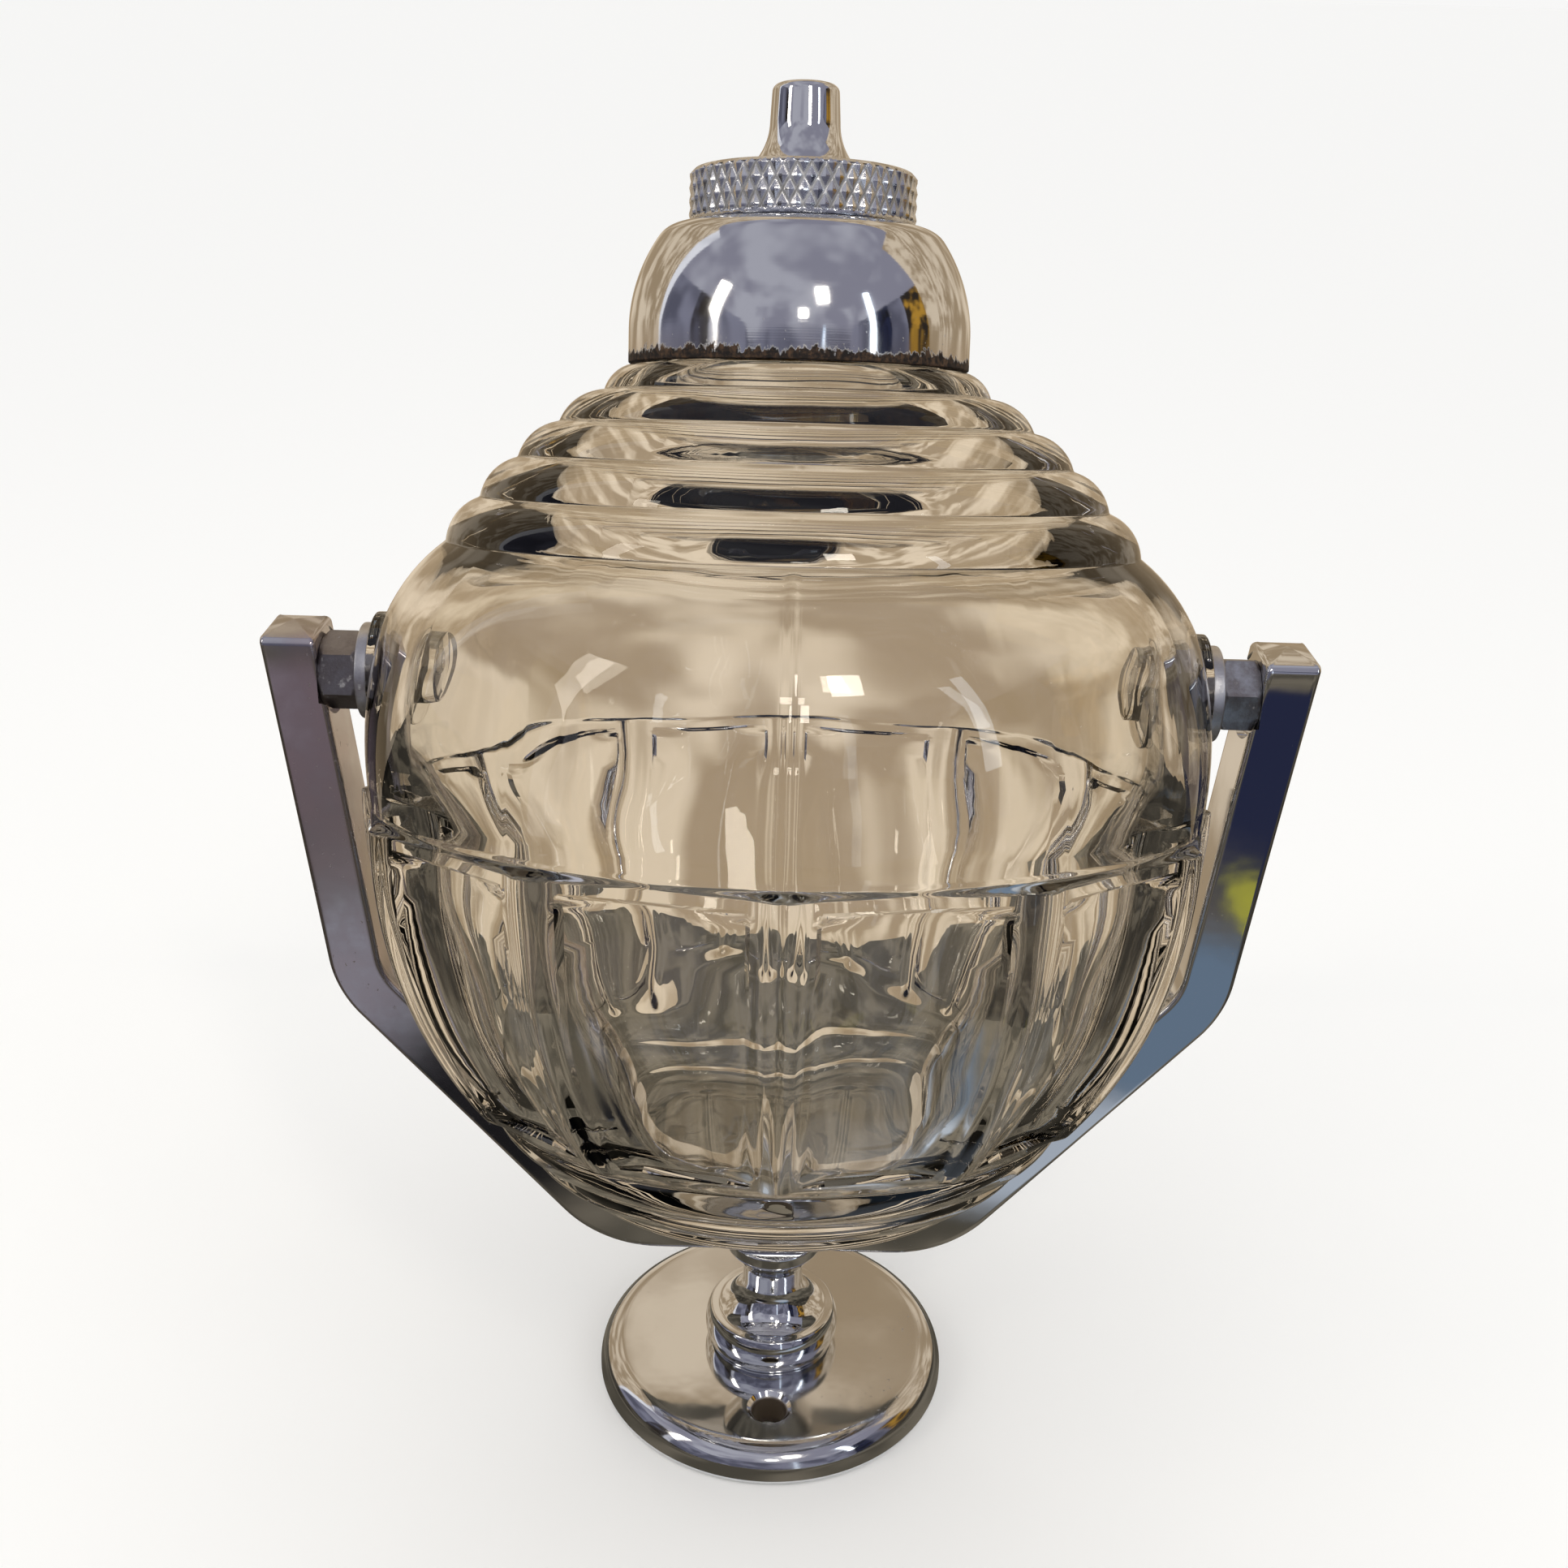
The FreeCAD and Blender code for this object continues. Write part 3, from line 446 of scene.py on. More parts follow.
def yoke_chrome(name):
    """Chrome plate of the bent bar: bright on the right, and dull and pitted up the left arm, whose darker
    mauve-grey tone is painted reflection.
    """
    finish = Finish(name)
    place = finish.place()
    here = finish.node("ShaderNodeTexCoord", output="Object")
    across = finish.node("ShaderNodeSeparateXYZ", None, {"Vector": here})
    haze = finish.noise(place, 11, 5, 0.6)
    hairs = finish.hairlines(YOKE_HAIRS)
    worn = (1.0 - across.between(*WORN_ARM)) * (0.55 + 0.45 * haze.between(0.3, 0.6))
    specks = finish.noise(place, 0.8, 3).between(0.64, 0.72) * haze.between(0.45, 0.75)
    pits = specks * (0.3 + 0.7 * worn)
    waves = finish.noise(place, 8, 2) + 0.05 * hairs
    # The left arm's dullness and pits are real wear; its darker mauve-grey tone is painted reflection of
    # the room in front.
    dull = finish.blend(haze.between(0.35, 0.7), rgb(0.44, 0.42, 0.45), rgb(0.54, 0.48, 0.50))
    plate = finish.blend(0.9 * worn, CHROME_TONE, dull)
    return finish.done({
        "Base Color": finish.blend(pits, plate, PIT_TONE),
        "Metallic": 1.0 - 0.5 * pits,
        "Roughness": 0.04 + 0.16 * worn + 0.04 * hairs + 0.4 * pits,
        "Normal": finish.bump(waves - 0.1 * pits, PLATE_RELIEF),
    })


def knurl_chrome(name):
    """Chrome over a diamond knurl, bright on the points and dark with old grime in the grooves."""
    finish = Finish(name)
    place = finish.place()
    groove = finish.mark("groove")
    grime = groove.between(0.55, 1.0) * finish.noise(place, 3, 4).between(0.25, 0.6)
    hairs = finish.noise(place, 0.5, 3)
    return finish.done({
        "Base Color": finish.blend(0.85 * grime, CHROME_TONE, rgb(0.09, 0.08, 0.07)),
        "Metallic": 1.0 - 0.5 * grime,
        "Roughness": 0.12 + 0.1 * hairs + 0.35 * grime,
        "Normal": finish.bump(hairs, 0.02),
    })


def zinc(name, tone, worn):
    """Dull zinc plate: grey, softly mottled, with turning marks and white bloom."""
    finish = Finish(name)
    place = finish.place()
    cloud = finish.noise(place, 3, 5, 0.65)
    grain = finish.noise(place, 0.35, 3)
    marks = finish.noise(finish.place((9, 1, 1)), 3, 3)
    bloom = finish.noise(place, 1.5, 4, 0.7).between(0.58, 0.75)
    plate = finish.blend(cloud.between(0.3, 0.7), tone, worn)
    return finish.done({
        "Base Color": finish.blend(0.5 * bloom, plate, rgb(0.72, 0.73, 0.74)),
        "Metallic": 1.0 - 0.35 * bloom,
        "Roughness": 0.3 + 0.2 * cloud + 0.15 * bloom,
        "Normal": finish.bump(grain + 0.6 * marks, PLATE_RELIEF),
    })


def steel(name):
    """Plain machined steel, darkened by age, with fine turning lines."""
    finish = Finish(name)
    place = finish.place()
    cloud = finish.noise(place, 2.5, 5, 0.65)
    lines = finish.noise(finish.place((12, 12, 1)), 2, 3)
    grey, brown = rgb(0.46, 0.45, 0.44), rgb(0.20, 0.16, 0.13)
    return finish.done({
        "Base Color": finish.blend(cloud.between(0.35, 0.75), grey, brown),
        "Metallic": 1.0,
        "Roughness": 0.28 + 0.25 * cloud,
        "Normal": finish.bump(lines, PLATE_RELIEF),
    })


def brass(name):
    """Turned brass with a brown tarnish that gathers in patches."""
    finish = Finish(name)
    place = finish.place()
    cloud = finish.noise(place, 4, 5, 0.65)
    lines = finish.noise(finish.place((1, 1, 20)), 3, 3)
    yellow, tarnish = rgb(0.68, 0.47, 0.20), rgb(0.26, 0.16, 0.08)
    return finish.done({
        "Base Color": finish.blend(cloud.between(0.4, 0.7), yellow, tarnish),
        "Metallic": 1.0,
        "Roughness": 0.22 + 0.25 * cloud.between(0.35, 0.75),
        "Normal": finish.bump(lines, 0.02),
    })


def rubber(name):
    """Old black rubber, matt and slightly chalky, with a pebbled skin."""
    finish = Finish(name)
    place = finish.place()
    chalk = finish.noise(place, 2, 5, 0.7)
    pebble = finish.noise(place, 0.4, 2)
    black, chalky = rgb(0.022, 0.020, 0.019), rgb(0.075, 0.068, 0.060)
    return finish.done({
        "Base Color": finish.blend(chalk.between(0.4, 0.8), black, chalky),
        "Roughness": 0.62 + 0.2 * chalk,
        "Normal": finish.bump(pebble, 0.05),
    })


def moulded_glass(name):
    """Clear pressed glass: faintly warm, softly uneven from the mould, with thin smears on its skin."""
    finish = Finish(name)
    place = finish.place()
    flow = finish.noise(place, 10, 1)
    smear = finish.noise(finish.place((1, 1, 2.5)), 11, 5, 0.7).between(0.56, 0.80)
    clear, smeared = rgb(0.985, 0.978, 0.955), rgb(0.955, 0.945, 0.915)
    return finish.done({
        "Base Color": finish.blend(smear, clear, smeared),
        "Transmission Weight": 1.0,
        "IOR": 1.5,
        "Roughness": 0.004 + 0.035 * smear,
        "Normal": finish.bump(flow, 0.05),
    })


# Glass globe; heights and drops are measured along its own axis from the pivot line

SIDE_COUNT = 12
SIDE_TURN = FULL_TURN / SIDE_COUNT
BELLY_RADIUS = 60.3
BELLY_DROP = 8.5
LEDGE_DROP = 16.6
BROW_HEIGHT = 4.0
SHOULDER_RADIUS = 27.2
SHOULDER_HEIGHT = 40.7
SHOULDER_FOOT_RADIUS = 49.0
SHOULDER_FOOT_HEIGHT = 19.5
SHOULDER_ARCH = 1.5
SHOULDER_RINGS = 4
RING_BULGE = 1.15
TOP_RING_BULGE = 0.6
NECK_BASE_HEIGHT = 44.2
FOOT_RADIUS = 43.0
FOOT_DROP = 61.0
BASE_RADIUS = 26.0
FOOT_ARCH = 1.6
FOOT_RINGS = 3
FOOT_RING_BULGE = 1.05
BASE_THICKNESS = 7.0
WALL = 5.0
PANEL_RECESS = 1.2
PANEL_RIM = 2.2
PANEL_FOOT_RIM = 2.4
PANEL_CORNER = 3.0
PANEL_EDGE = 0.9
RIB_WIDTH_TOP = 5.6
RIB_WIDTH_FOOT = 3.4
RIB_EASE = math.radians(0.8)
RIB_CROWN = 0.6
LEDGE_EASE = 0.9
FOOT_EASE = 1.6
FOOT_LAP = 0.2
SEAM_PROUD = 0.13
SEAM_HALF_WIDTH = 0.45
SEAM_FOOT_FADE = 4.0
SEAM_TOP_FADE = 3.0
NECK_WALL = 4.0
NECK_THREAD_PITCH = 3.2
NECK_THREAD_DEPTH = 0.7
NECK_THREAD_FOOT = (0.5, 1.3)
NECK_THREAD_TOP = (0.6, 1.4)
WAVE_DEPTH = 0.13
WAVE_FADE = 20.0
SKIN_WAVE_DEPTH = 0.035
RIB_COLUMNS = 14
PANEL_COLUMNS = 6
RIB_SHARE = 0.28
GLASS_SOFT = 0.35
GLASS_BEND = 10
GLASS_STEP = 2.6
LEDGE_STEP = 0.16
LEDGE_REACH = 0.8
RIM_STEP = 0.4
RIM_REACH = 1.8
RIM_SLOPE = 1.2
NECK_SLACK = 0.1

GLASS_LOW, GLASS_HIGH = globe_box("glass_globe")
GASKET_HIGH = globe_box("cap_gasket")[1]
WASHER_LOW, WASHER_HIGH = globe_box("pivot_washer_right")
BASE_DROP = -GLASS_LOW[2]
LIP_HEIGHT = GLASS_HIGH[2]
NECK_RADIUS = GASKET_HIGH[0]
NECK_BORE_RADIUS = NECK_RADIUS - NECK_WALL
LEDGE_RADIUS = math.sqrt(BELLY_RADIUS ** 2 - (LEDGE_DROP - BELLY_DROP) ** 2)
BROW_TURN = math.asin((BROW_HEIGHT + BELLY_DROP) / BELLY_RADIUS)
BROW_RADIUS = BELLY_RADIUS * math.cos(BROW_TURN)
WASHER_PLAY = 0.2
PAD_MARGIN = 1.6
BOSS_WALL = 3.0
SOCKET_DEPTH = 6.0
SOCKET_RADIUS = 2.45
PAD_RADIUS = WASHER_HIGH[2] + PAD_MARGIN
PAD_X = WASHER_LOW[0] - WASHER_PLAY
SOCKET_X = PAD_X - SOCKET_DEPTH
CAP_LOW, CAP_HIGH = globe_box("cap_dome")
CAP_RADIUS, CAP_FOOT, CAP_TOP = CAP_HIGH[0], CAP_LOW[2], CAP_HIGH[2]


def brow_bulge(inward, upward):
    """Bulge of the arc that leaves the brow along the belly, and ends inward and upward from there."""
    span = upward * math.cos(BROW_TURN) + inward * math.sin(BROW_TURN)
    aside = inward * math.cos(BROW_TURN) - upward * math.sin(BROW_TURN)
    return tangent_bulge(span, aside)


def chord_bulge(radius, start, end):
    """Bulge of the arc of the given radius between two points."""
    half_chord = math.hypot(end[0] - start[0], end[1] - start[1]) / 2
    return radius - math.sqrt(radius ** 2 - half_chord ** 2)


def glass_profile():
    """Profile of the glass from the middle of the base, up the outside, over the lip and down inside."""
    outside = Trace(0, -BASE_DROP).line(BASE_RADIUS, -BASE_DROP)
    base, foot = (BASE_RADIUS, -BASE_DROP), (FOOT_RADIUS, -FOOT_DROP)
    for radius, height in arc_marks(base, foot, FOOT_ARCH, FOOT_RINGS)[1:]:
        outside.arc(radius, height, FOOT_RING_BULGE)
    ledge, brow = (LEDGE_RADIUS, -LEDGE_DROP), (BROW_RADIUS, BROW_HEIGHT)
    shoulder_foot = (SHOULDER_FOOT_RADIUS, SHOULDER_FOOT_HEIGHT)
    outside.arc(*ledge, tangent_bulge(FOOT_DROP - LEDGE_DROP, LEDGE_RADIUS - FOOT_RADIUS))
    outside.arc(*brow, chord_bulge(BELLY_RADIUS, ledge, brow))
    outside.arc(*shoulder_foot, brow_bulge(brow[0] - shoulder_foot[0], shoulder_foot[1] - brow[1]))
    shoulder_top = (SHOULDER_RADIUS, SHOULDER_HEIGHT)
    for radius, height in arc_marks(shoulder_foot, shoulder_top, SHOULDER_ARCH, SHOULDER_RINGS)[1:]:
        outside.arc(radius, height, RING_BULGE)
    outside.arc(CAP_RADIUS, NECK_BASE_HEIGHT, TOP_RING_BULGE).line(NECK_RADIUS, NECK_BASE_HEIGHT)
    outside.line(NECK_RADIUS, LIP_HEIGHT).line(NECK_BORE_RADIUS, LIP_HEIGHT)
    floor = -BASE_DROP + BASE_THICKNESS
    belly = (LEDGE_RADIUS - WALL - PANEL_RECESS, -LEDGE_DROP)
    brow = (BROW_RADIUS - WALL, BROW_HEIGHT)
    shoulder = (SHOULDER_FOOT_RADIUS - WALL, SHOULDER_FOOT_HEIGHT - WALL / 2)
    inside = outside.line(NECK_BORE_RADIUS, NECK_BASE_HEIGHT - WALL).line(*shoulder)
    inside.arc(*brow, -brow_bulge(brow[0] - shoulder[0], shoulder[1] - brow[1]))
    inside.arc(*belly, -chord_bulge(BELLY_RADIUS - WALL, belly, brow))
    inside.arc(BASE_RADIUS, floor, -tangent_bulge(belly[1] - floor, belly[0] - BASE_RADIUS))
    return inside.line(0, floor)


def glass_spacing(points):
    """Row spacing along the profile: close where the ledge, the panels' ends and the neck's thread are."""
    height = points[:, 1]
    spacing = np.full(len(points), GLASS_STEP)
    heights, radii = [-BASE_DROP, -LEDGE_DROP, LIP_HEIGHT], [0, LEDGE_RADIUS - WALL / 2, 0]
    outer = points[:, 0] > np.interp(height, heights, radii)
    marks = (
        (-LEDGE_DROP - LEDGE_EASE / 2, LEDGE_REACH, LEDGE_STEP),
        (-LEDGE_DROP - PANEL_RIM - RIM_SLOPE, RIM_REACH, RIM_STEP),
        (-FOOT_DROP + PANEL_FOOT_RIM + RIM_SLOPE, RIM_REACH, RIM_STEP),
        (-FOOT_DROP, FOOT_EASE, RIM_STEP),
    )
    for middle, half_width, close in marks:
        spacing = np.where(outer & (np.abs(height - middle) < half_width), close, spacing)
    neck = (height > NECK_BASE_HEIGHT) & (points[:, 0] > NECK_RADIUS - NECK_SLACK)
    return np.where(neck, RIM_STEP, spacing)


def glass_angles():
    """Angles of the columns: close together at each rib, wider across the panels."""
    rib = np.linspace(0, RIB_SHARE, RIB_COLUMNS, endpoint=False)
    panel = np.linspace(RIB_SHARE, 1, PANEL_COLUMNS, endpoint=False)
    one_side = (np.concatenate([rib, panel]) - RIB_SHARE / 2) * SIDE_TURN
    return (np.arange(SIDE_COUNT)[:, None] * SIDE_TURN + one_side).ravel()


def ripple(angle, height, crests, climb, start=0.0):
    """A sine wave with so many crests round the globe, whose phase climbs with the height."""
    return np.sin(crests * angle + climb * height + start)


def sway(angle, height, climb, swing, crests):
    """A sine wave up the globe, whose phase swings to and fro so many times in one round."""
    return np.sin(climb * height + swing * np.sin(crests * angle))


def shape_glass(outer_rows):
    """The rule that turns the round glass into the moulded one, from radius, height and angle.

    Below the ledge the outside is a twelve-sided prism, so the radius grows by 1 / cos of the angle
    from a side's middle; each side is set in by its panel, a soft-cornered trapezium, and the ribs
    between are crowned by a parabola, 1 less the squared share of the half width; two mould seams
    stand proud at front and back; the neck has a screw thread; and slow waves pass over both skins.
    """
    def shape(radius, height, angle):
        from_rib = np.abs((angle + SIDE_TURN / 2) % SIDE_TURN - SIDE_TURN / 2)
        eased = np.sqrt(from_rib ** 2 + RIB_EASE ** 2) - RIB_EASE
        from_middle = SIDE_TURN / 2 - eased
        sided = smooth_step(LEDGE_DROP, LEDGE_DROP + LEDGE_EASE, -height)
        sided = sided * smooth_step(-FOOT_DROP - FOOT_LAP, -FOOT_DROP + FOOT_EASE, height)
        outside = radius * (1 + sided * (1 / np.cos(from_middle) - 1))
        half_side = math.tan(SIDE_TURN / 2)
        top, foot = -LEDGE_DROP - PANEL_RIM, -FOOT_DROP + PANEL_FOOT_RIM
        half_top = LEDGE_RADIUS * half_side - RIB_WIDTH_TOP / 2
        half_foot = FOOT_RADIUS * half_side - RIB_WIDTH_FOOT / 2
        half_width = np.interp(height, [foot, top], [half_foot, half_top])
        across = radius * np.tan(from_middle) - half_width + PANEL_CORNER
        upright = np.maximum(height - top, foot - height) + PANEL_CORNER
        corner = np.hypot(np.maximum(across, 0), np.maximum(upright, 0))
        beyond = corner + np.minimum(np.maximum(across, upright), 0) - PANEL_CORNER
        outside = outside - PANEL_RECESS * smooth_step(0.0, PANEL_EDGE, -beyond)
        rib_half = np.interp(height, [foot, top], [RIB_WIDTH_FOOT / 2, RIB_WIDTH_TOP / 2])
        outside = outside + RIB_CROWN * sided * np.clip(1 - (radius * from_rib / rib_half) ** 2, 0, 1)
        from_seam = radius * np.abs((angle % math.pi) - math.pi / 2)
        seam = np.exp(-(from_seam / SEAM_HALF_WIDTH) ** 2)
        seam = seam * smooth_step(-FOOT_DROP, -FOOT_DROP + SEAM_FOOT_FADE, height)
        outside = outside + SEAM_PROUD * seam * smooth_step(0, SEAM_TOP_FADE, SHOULDER_FOOT_HEIGHT - height)
        skin = ripple(angle, height, 5, 0.11) * sway(angle, height, 0.16, 1.3, 2)
        outside = outside + SKIN_WAVE_DEPTH * skin
        start, full = NECK_THREAD_FOOT
        on_neck = smooth_step(NECK_BASE_HEIGHT + start, NECK_BASE_HEIGHT + full, height)
        on_neck = on_neck * smooth_step(*NECK_THREAD_TOP, LIP_HEIGHT - height)
        groove = 0.5 + 0.5 * np.cos(FULL_TURN * height / NECK_THREAD_PITCH - angle)
        outside = outside - NECK_THREAD_DEPTH * on_neck * groove
        wave = ripple(angle, height, 4, 0.21) + ripple(angle, height, 7, -0.13, 1.1)
        wave = wave + sway(angle, height, 0.33, 2.2, 3)
        inside = radius + WAVE_DEPTH * wave * smooth_step(0, WAVE_FADE, radius)
        return np.where(outer_rows[:, None], outside, inside)
    return shape


ROD_EASE = 0.3
ROD_STEP = 2.5
ROD_COLUMNS = 72
CUT_EASE = 0.1


def rod(radius, start, end, rounding):
    """A plain round bar along X, with its two edges eased."""
    bar = Trace(0, start).line(radius, start).line(radius, end).line(0, end)
    return along_x(turned(bar.points(rounding, ROD_STEP), evenly(ROD_COLUMNS)))


def make_globe():
    """The glass globe: one skin from the base over the lip to the floor inside, with pads and sockets."""
    profile = glass_profile().points(GLASS_SOFT, glass_spacing, GLASS_BEND)
    lip = np.argmax(profile[:, 1])
    outer_rows = np.arange(len(profile)) <= lip
    grid = turned(profile, glass_angles(), shape_glass(outer_rows))
    mesh = mesh_of("globe", leaned(grid), ring=False)
    tools = []
    for operation, radius, start, end in (
        ("UNION", PAD_RADIUS, SOCKET_X, PAD_X),
        ("UNION", SOCKET_RADIUS + BOSS_WALL, SOCKET_X - BOSS_WALL, PAD_X - BOSS_WALL),
        ("DIFFERENCE", PAD_RADIUS, PAD_X, PAD_X + BOSS_WALL),
        ("DIFFERENCE", SOCKET_RADIUS, SOCKET_X, PAD_X + BOSS_WALL),
    ):
        for side in (-1, 1):
            bar = rod(radius, start, end, ROD_EASE) * (side, 1, 1)
            tools.append((operation, mesh_of("bar", leaned(bar), ring=False)))
    add_piece("moulded_globe", carved(mesh, tools), moulded_glass("pressed_glass"),
              "globe", "glass_globe")


make_globe()


# Cap, nozzle and collar, on the globe's axis

CAP_SKIRT_HEIGHT = 4.3
CAP_DOME_RADIUS = 22.6
CAP_EDGE_DROP = 1.6
CAP_EDGE_BULGE = 0.45
CAP_TOP_RADIUS = 16.6
CAP_WALL = 1.6
CAP_SKIRT_WALL = 2.2
CAP_HOLLOW_BULGE = 1.0
CAP_EASE = 0.3
CAP_COLUMNS = 192
NIPPLE_FIT = 0.1
NOZZLE_FLARE_HEIGHT = 6.8
NOZZLE_WAIST_RADIUS = 4.85
NOZZLE_TIP_RADIUS = 4.65
NOZZLE_TIP_ROUND = 1.1
NOZZLE_ROOT_RADIUS = 8.4
NOZZLE_ROOT_CLEARANCE = 0.3
NOZZLE_EASE = 0.2
NOZZLE_COLUMNS = 96
SOAP_BORE_RADIUS = 2.2
COLLAR_BEVEL = 0.7
COLLAR_ROOF = 1.2
COLLAR_PLAY = 0.1
COLLAR_EASE = 0.15
COLLAR_STEP = 1.2
THREAD_CLEARANCE = 0.3
KNURL_COUNT = 52
KNURL_COLUMNS = 10
KNURL_RISE = 3.5
KNURL_DEPTH = 0.42
KNURL_STEP = 0.22
COLLAR_LOW, COLLAR_HIGH = globe_box("knurled_collar")
NOZZLE_LOW, NOZZLE_HIGH = globe_box("nozzle")
NIPPLE_RADIUS = NOZZLE_HIGH[0] + THREAD_CLEARANCE


def make_cap():
    """The cap's hollow shell: straight skirt, round dome and flat roof; rise is the height over its hem."""
    skirt_top = CAP_FOOT + CAP_SKIRT_HEIGHT
    rise = CAP_TOP - CAP_EDGE_DROP - skirt_top
    edge_radius = CAP_RADIUS - CAP_DOME_RADIUS + math.sqrt(CAP_DOME_RADIUS ** 2 - rise ** 2)
    bore = CAP_RADIUS - CAP_SKIRT_WALL
    hole = NIPPLE_RADIUS + NIPPLE_FIT
    ceiling = CAP_TOP - CAP_WALL
    ring_top = globe_box("cap_thread_ring")[1][2]
    shell = Trace(bore, CAP_FOOT).line(CAP_RADIUS, CAP_FOOT).line(CAP_RADIUS, skirt_top)
    shell.arc(edge_radius, skirt_top + rise, tangent_bulge(rise, CAP_RADIUS - edge_radius))
    shell.arc(CAP_TOP_RADIUS, CAP_TOP, CAP_EDGE_BULGE).line(hole, CAP_TOP).line(hole, ceiling)
    shell.line(CAP_TOP_RADIUS - CAP_WALL, ceiling).arc(bore, ring_top, -CAP_HOLLOW_BULGE)
    profile = shell.points(CAP_EASE, reach=1.0, turn=8, ring=True)
    grid = turned(profile, evenly(CAP_COLUMNS))
    mesh = mesh_of("cap", leaned(grid), ring=True, rise=grid[..., 2] - CAP_FOOT)
    add_piece("cap_shell", mesh, cap_chrome("aged_cap_chrome"), "cap", "cap_dome")


def make_nozzle():
    """The nozzle: flange under the collar, flared root, slim tip with a rounded rim, bored through."""
    flange_top = COLLAR_HIGH[2] - COLLAR_ROOF - COLLAR_PLAY
    top = NOZZLE_HIGH[2]
    flare = tangent_bulge(NOZZLE_FLARE_HEIGHT, NOZZLE_ROOT_RADIUS - NOZZLE_WAIST_RADIUS)
    rim = NOZZLE_TIP_ROUND * (1 - math.sqrt(0.5))
    tube = Trace(SOAP_BORE_RADIUS, NOZZLE_LOW[2]).line(NOZZLE_HIGH[0], NOZZLE_LOW[2])
    tube.line(NOZZLE_HIGH[0], flange_top).line(NOZZLE_ROOT_RADIUS, flange_top)
    tube.line(NOZZLE_ROOT_RADIUS, COLLAR_HIGH[2])
    tube.arc(NOZZLE_WAIST_RADIUS, COLLAR_HIGH[2] + NOZZLE_FLARE_HEIGHT, -flare)
    tube.line(NOZZLE_TIP_RADIUS, top - NOZZLE_TIP_ROUND)
    tube.arc(NOZZLE_TIP_RADIUS - NOZZLE_TIP_ROUND, top, rim).line(SOAP_BORE_RADIUS, top)
    profile = tube.points(NOZZLE_EASE, reach=1.0, turn=8, ring=True)
    mesh = mesh_of("nozzle", leaned(turned(profile, evenly(NOZZLE_COLUMNS))), ring=True)
    add_piece("spout", mesh, chrome("spout_chrome", 0.04, 0.1), "nozzle", "nozzle")


def knurl(height, angle):
    """How deep the diamond knurl is, from 0 on its points to 1 in its grooves.

    Two families of triangle waves climb round the rim in opposite directions; the lower of the
    two is the surface, so that square points stand between crossing grooves.
    """
    around, climb = angle * KNURL_COUNT / FULL_TURN, height / KNURL_RISE
    leading, trailing = (2 * np.abs((around + way * climb) % 1 - 0.5) for way in (1, -1))
    return 1 - np.minimum(leading, trailing)


def make_collar():
    """The union collar with its knurled rim; groove is the depth of the knurl at each point."""
    radius, foot, top = COLLAR_HIGH[0], COLLAR_LOW[2], COLLAR_HIGH[2]
    bore = NIPPLE_RADIUS + THREAD_CLEARANCE
    mouth = NOZZLE_ROOT_RADIUS + NOZZLE_ROOT_CLEARANCE
    ring = Trace(bore, foot).line(radius - COLLAR_BEVEL, foot).line(radius, foot + COLLAR_BEVEL)
    ring.line(radius, top - COLLAR_BEVEL).line(radius - COLLAR_BEVEL, top).line(mouth, top)
    ring.line(mouth, top - COLLAR_ROOF).line(bore, top - COLLAR_ROOF)
    on_rim = radius - COLLAR_BEVEL / 2

    def spacing(points):
        """Close rows on the knurled rim and wide ones elsewhere."""
        return np.where(points[:, 0] > on_rim, KNURL_STEP, COLLAR_STEP)

    profile = ring.points(COLLAR_EASE, spacing, turn=20, ring=True)
    angles = evenly(KNURL_COUNT * KNURL_COLUMNS)
    plain = turned(profile, angles)
    share = smooth_step(on_rim - radius, 0, profile[:, 0] - radius)[:, None]
    groove = share * knurl(plain[..., 2], angles + 0 * plain[..., 2])
    grid = turned(profile, angles, lambda radii, height, angle: radii - KNURL_DEPTH * groove)
    mesh = mesh_of("collar", leaned(grid), ring=True, groove=groove)
    finish = knurl_chrome("knurl_chrome")
    add_piece("knurled_ring", mesh, finish, "collar", "knurled_collar")


make_cap()
make_nozzle()
make_collar()


# Stand: flange, stem and yoke, then the pivots' nuts and washers

FLANGE_RIM_ROUND = 4.2
FLANGE_FOOT_BEVEL = 0.6
FLANGE_EASE = 0.5
FLANGE_COLUMNS = 192
SCREW_HOLE_RADIUS = 2.75
SCREW_HOLE_SPACING = 36.0
COUNTERSINK_DEPTH = 0.9
COUNTERSINK_EASE = 0.3
STEM_FOOT_RADIUS = 10.4
STEM_FOOT_BULGE = 0.9
STEM_FOOT_HEIGHT = 6.6
STEM_STEP_RADIUS = 9.0
STEM_NECK_RADIUS = 5.0
STEM_FLARE_HEIGHT = 6.0
STEM_CONE_HEIGHT = 4.1
STEM_TOP_RADIUS = 8.0
STEM_TOP_BAND = 2.0
STEM_EASE = 0.45
STEM_COLUMNS = 128
BOLT_HOLE_RADIUS = 3.3
BOLT_POCKET_RADIUS = 6.6
BOLT_POCKET_DEPTH = 3.6
BOLT_THREAD_DEPTH = 6.0
TAP_RADIUS = 3.05
BAR_THICKNESS = 7.8
BAR_DEPTH = 11.0
BAR_EDGE_ROUND = 0.7
BAR_LEAST_ROUND = 0.15
BAR_SUPPORT = 0.35
BAR_EDGE_POINTS = 6
BEND_ROWS = 15
CROWN_ROWS = 5
ARM_SPLAY = math.radians(6.4)
ARM_RISE = 7.6
ARM_CROWN = 1.5
SLANT = math.radians(40.3)
SLANT_CLEARANCE = 4.3
ARM_BEND_RADIUS = 18.0
FOOT_BEND_RADIUS = 20.0
NUT_SIDES = 6
NUT_FLATS = 10.0
NUT_TURN = math.radians(42.0)
SPOT_FACE_CLEARANCE = 0.6
NUT_EASE = 0.15
NUT_COLUMNS = 120
WASHER_HOLE_RADIUS = 2.6
WASHER_EASE = 0.5
WASHER_COLUMNS = 96
POST_COLUMNS = 64
THROUGH = 4.0

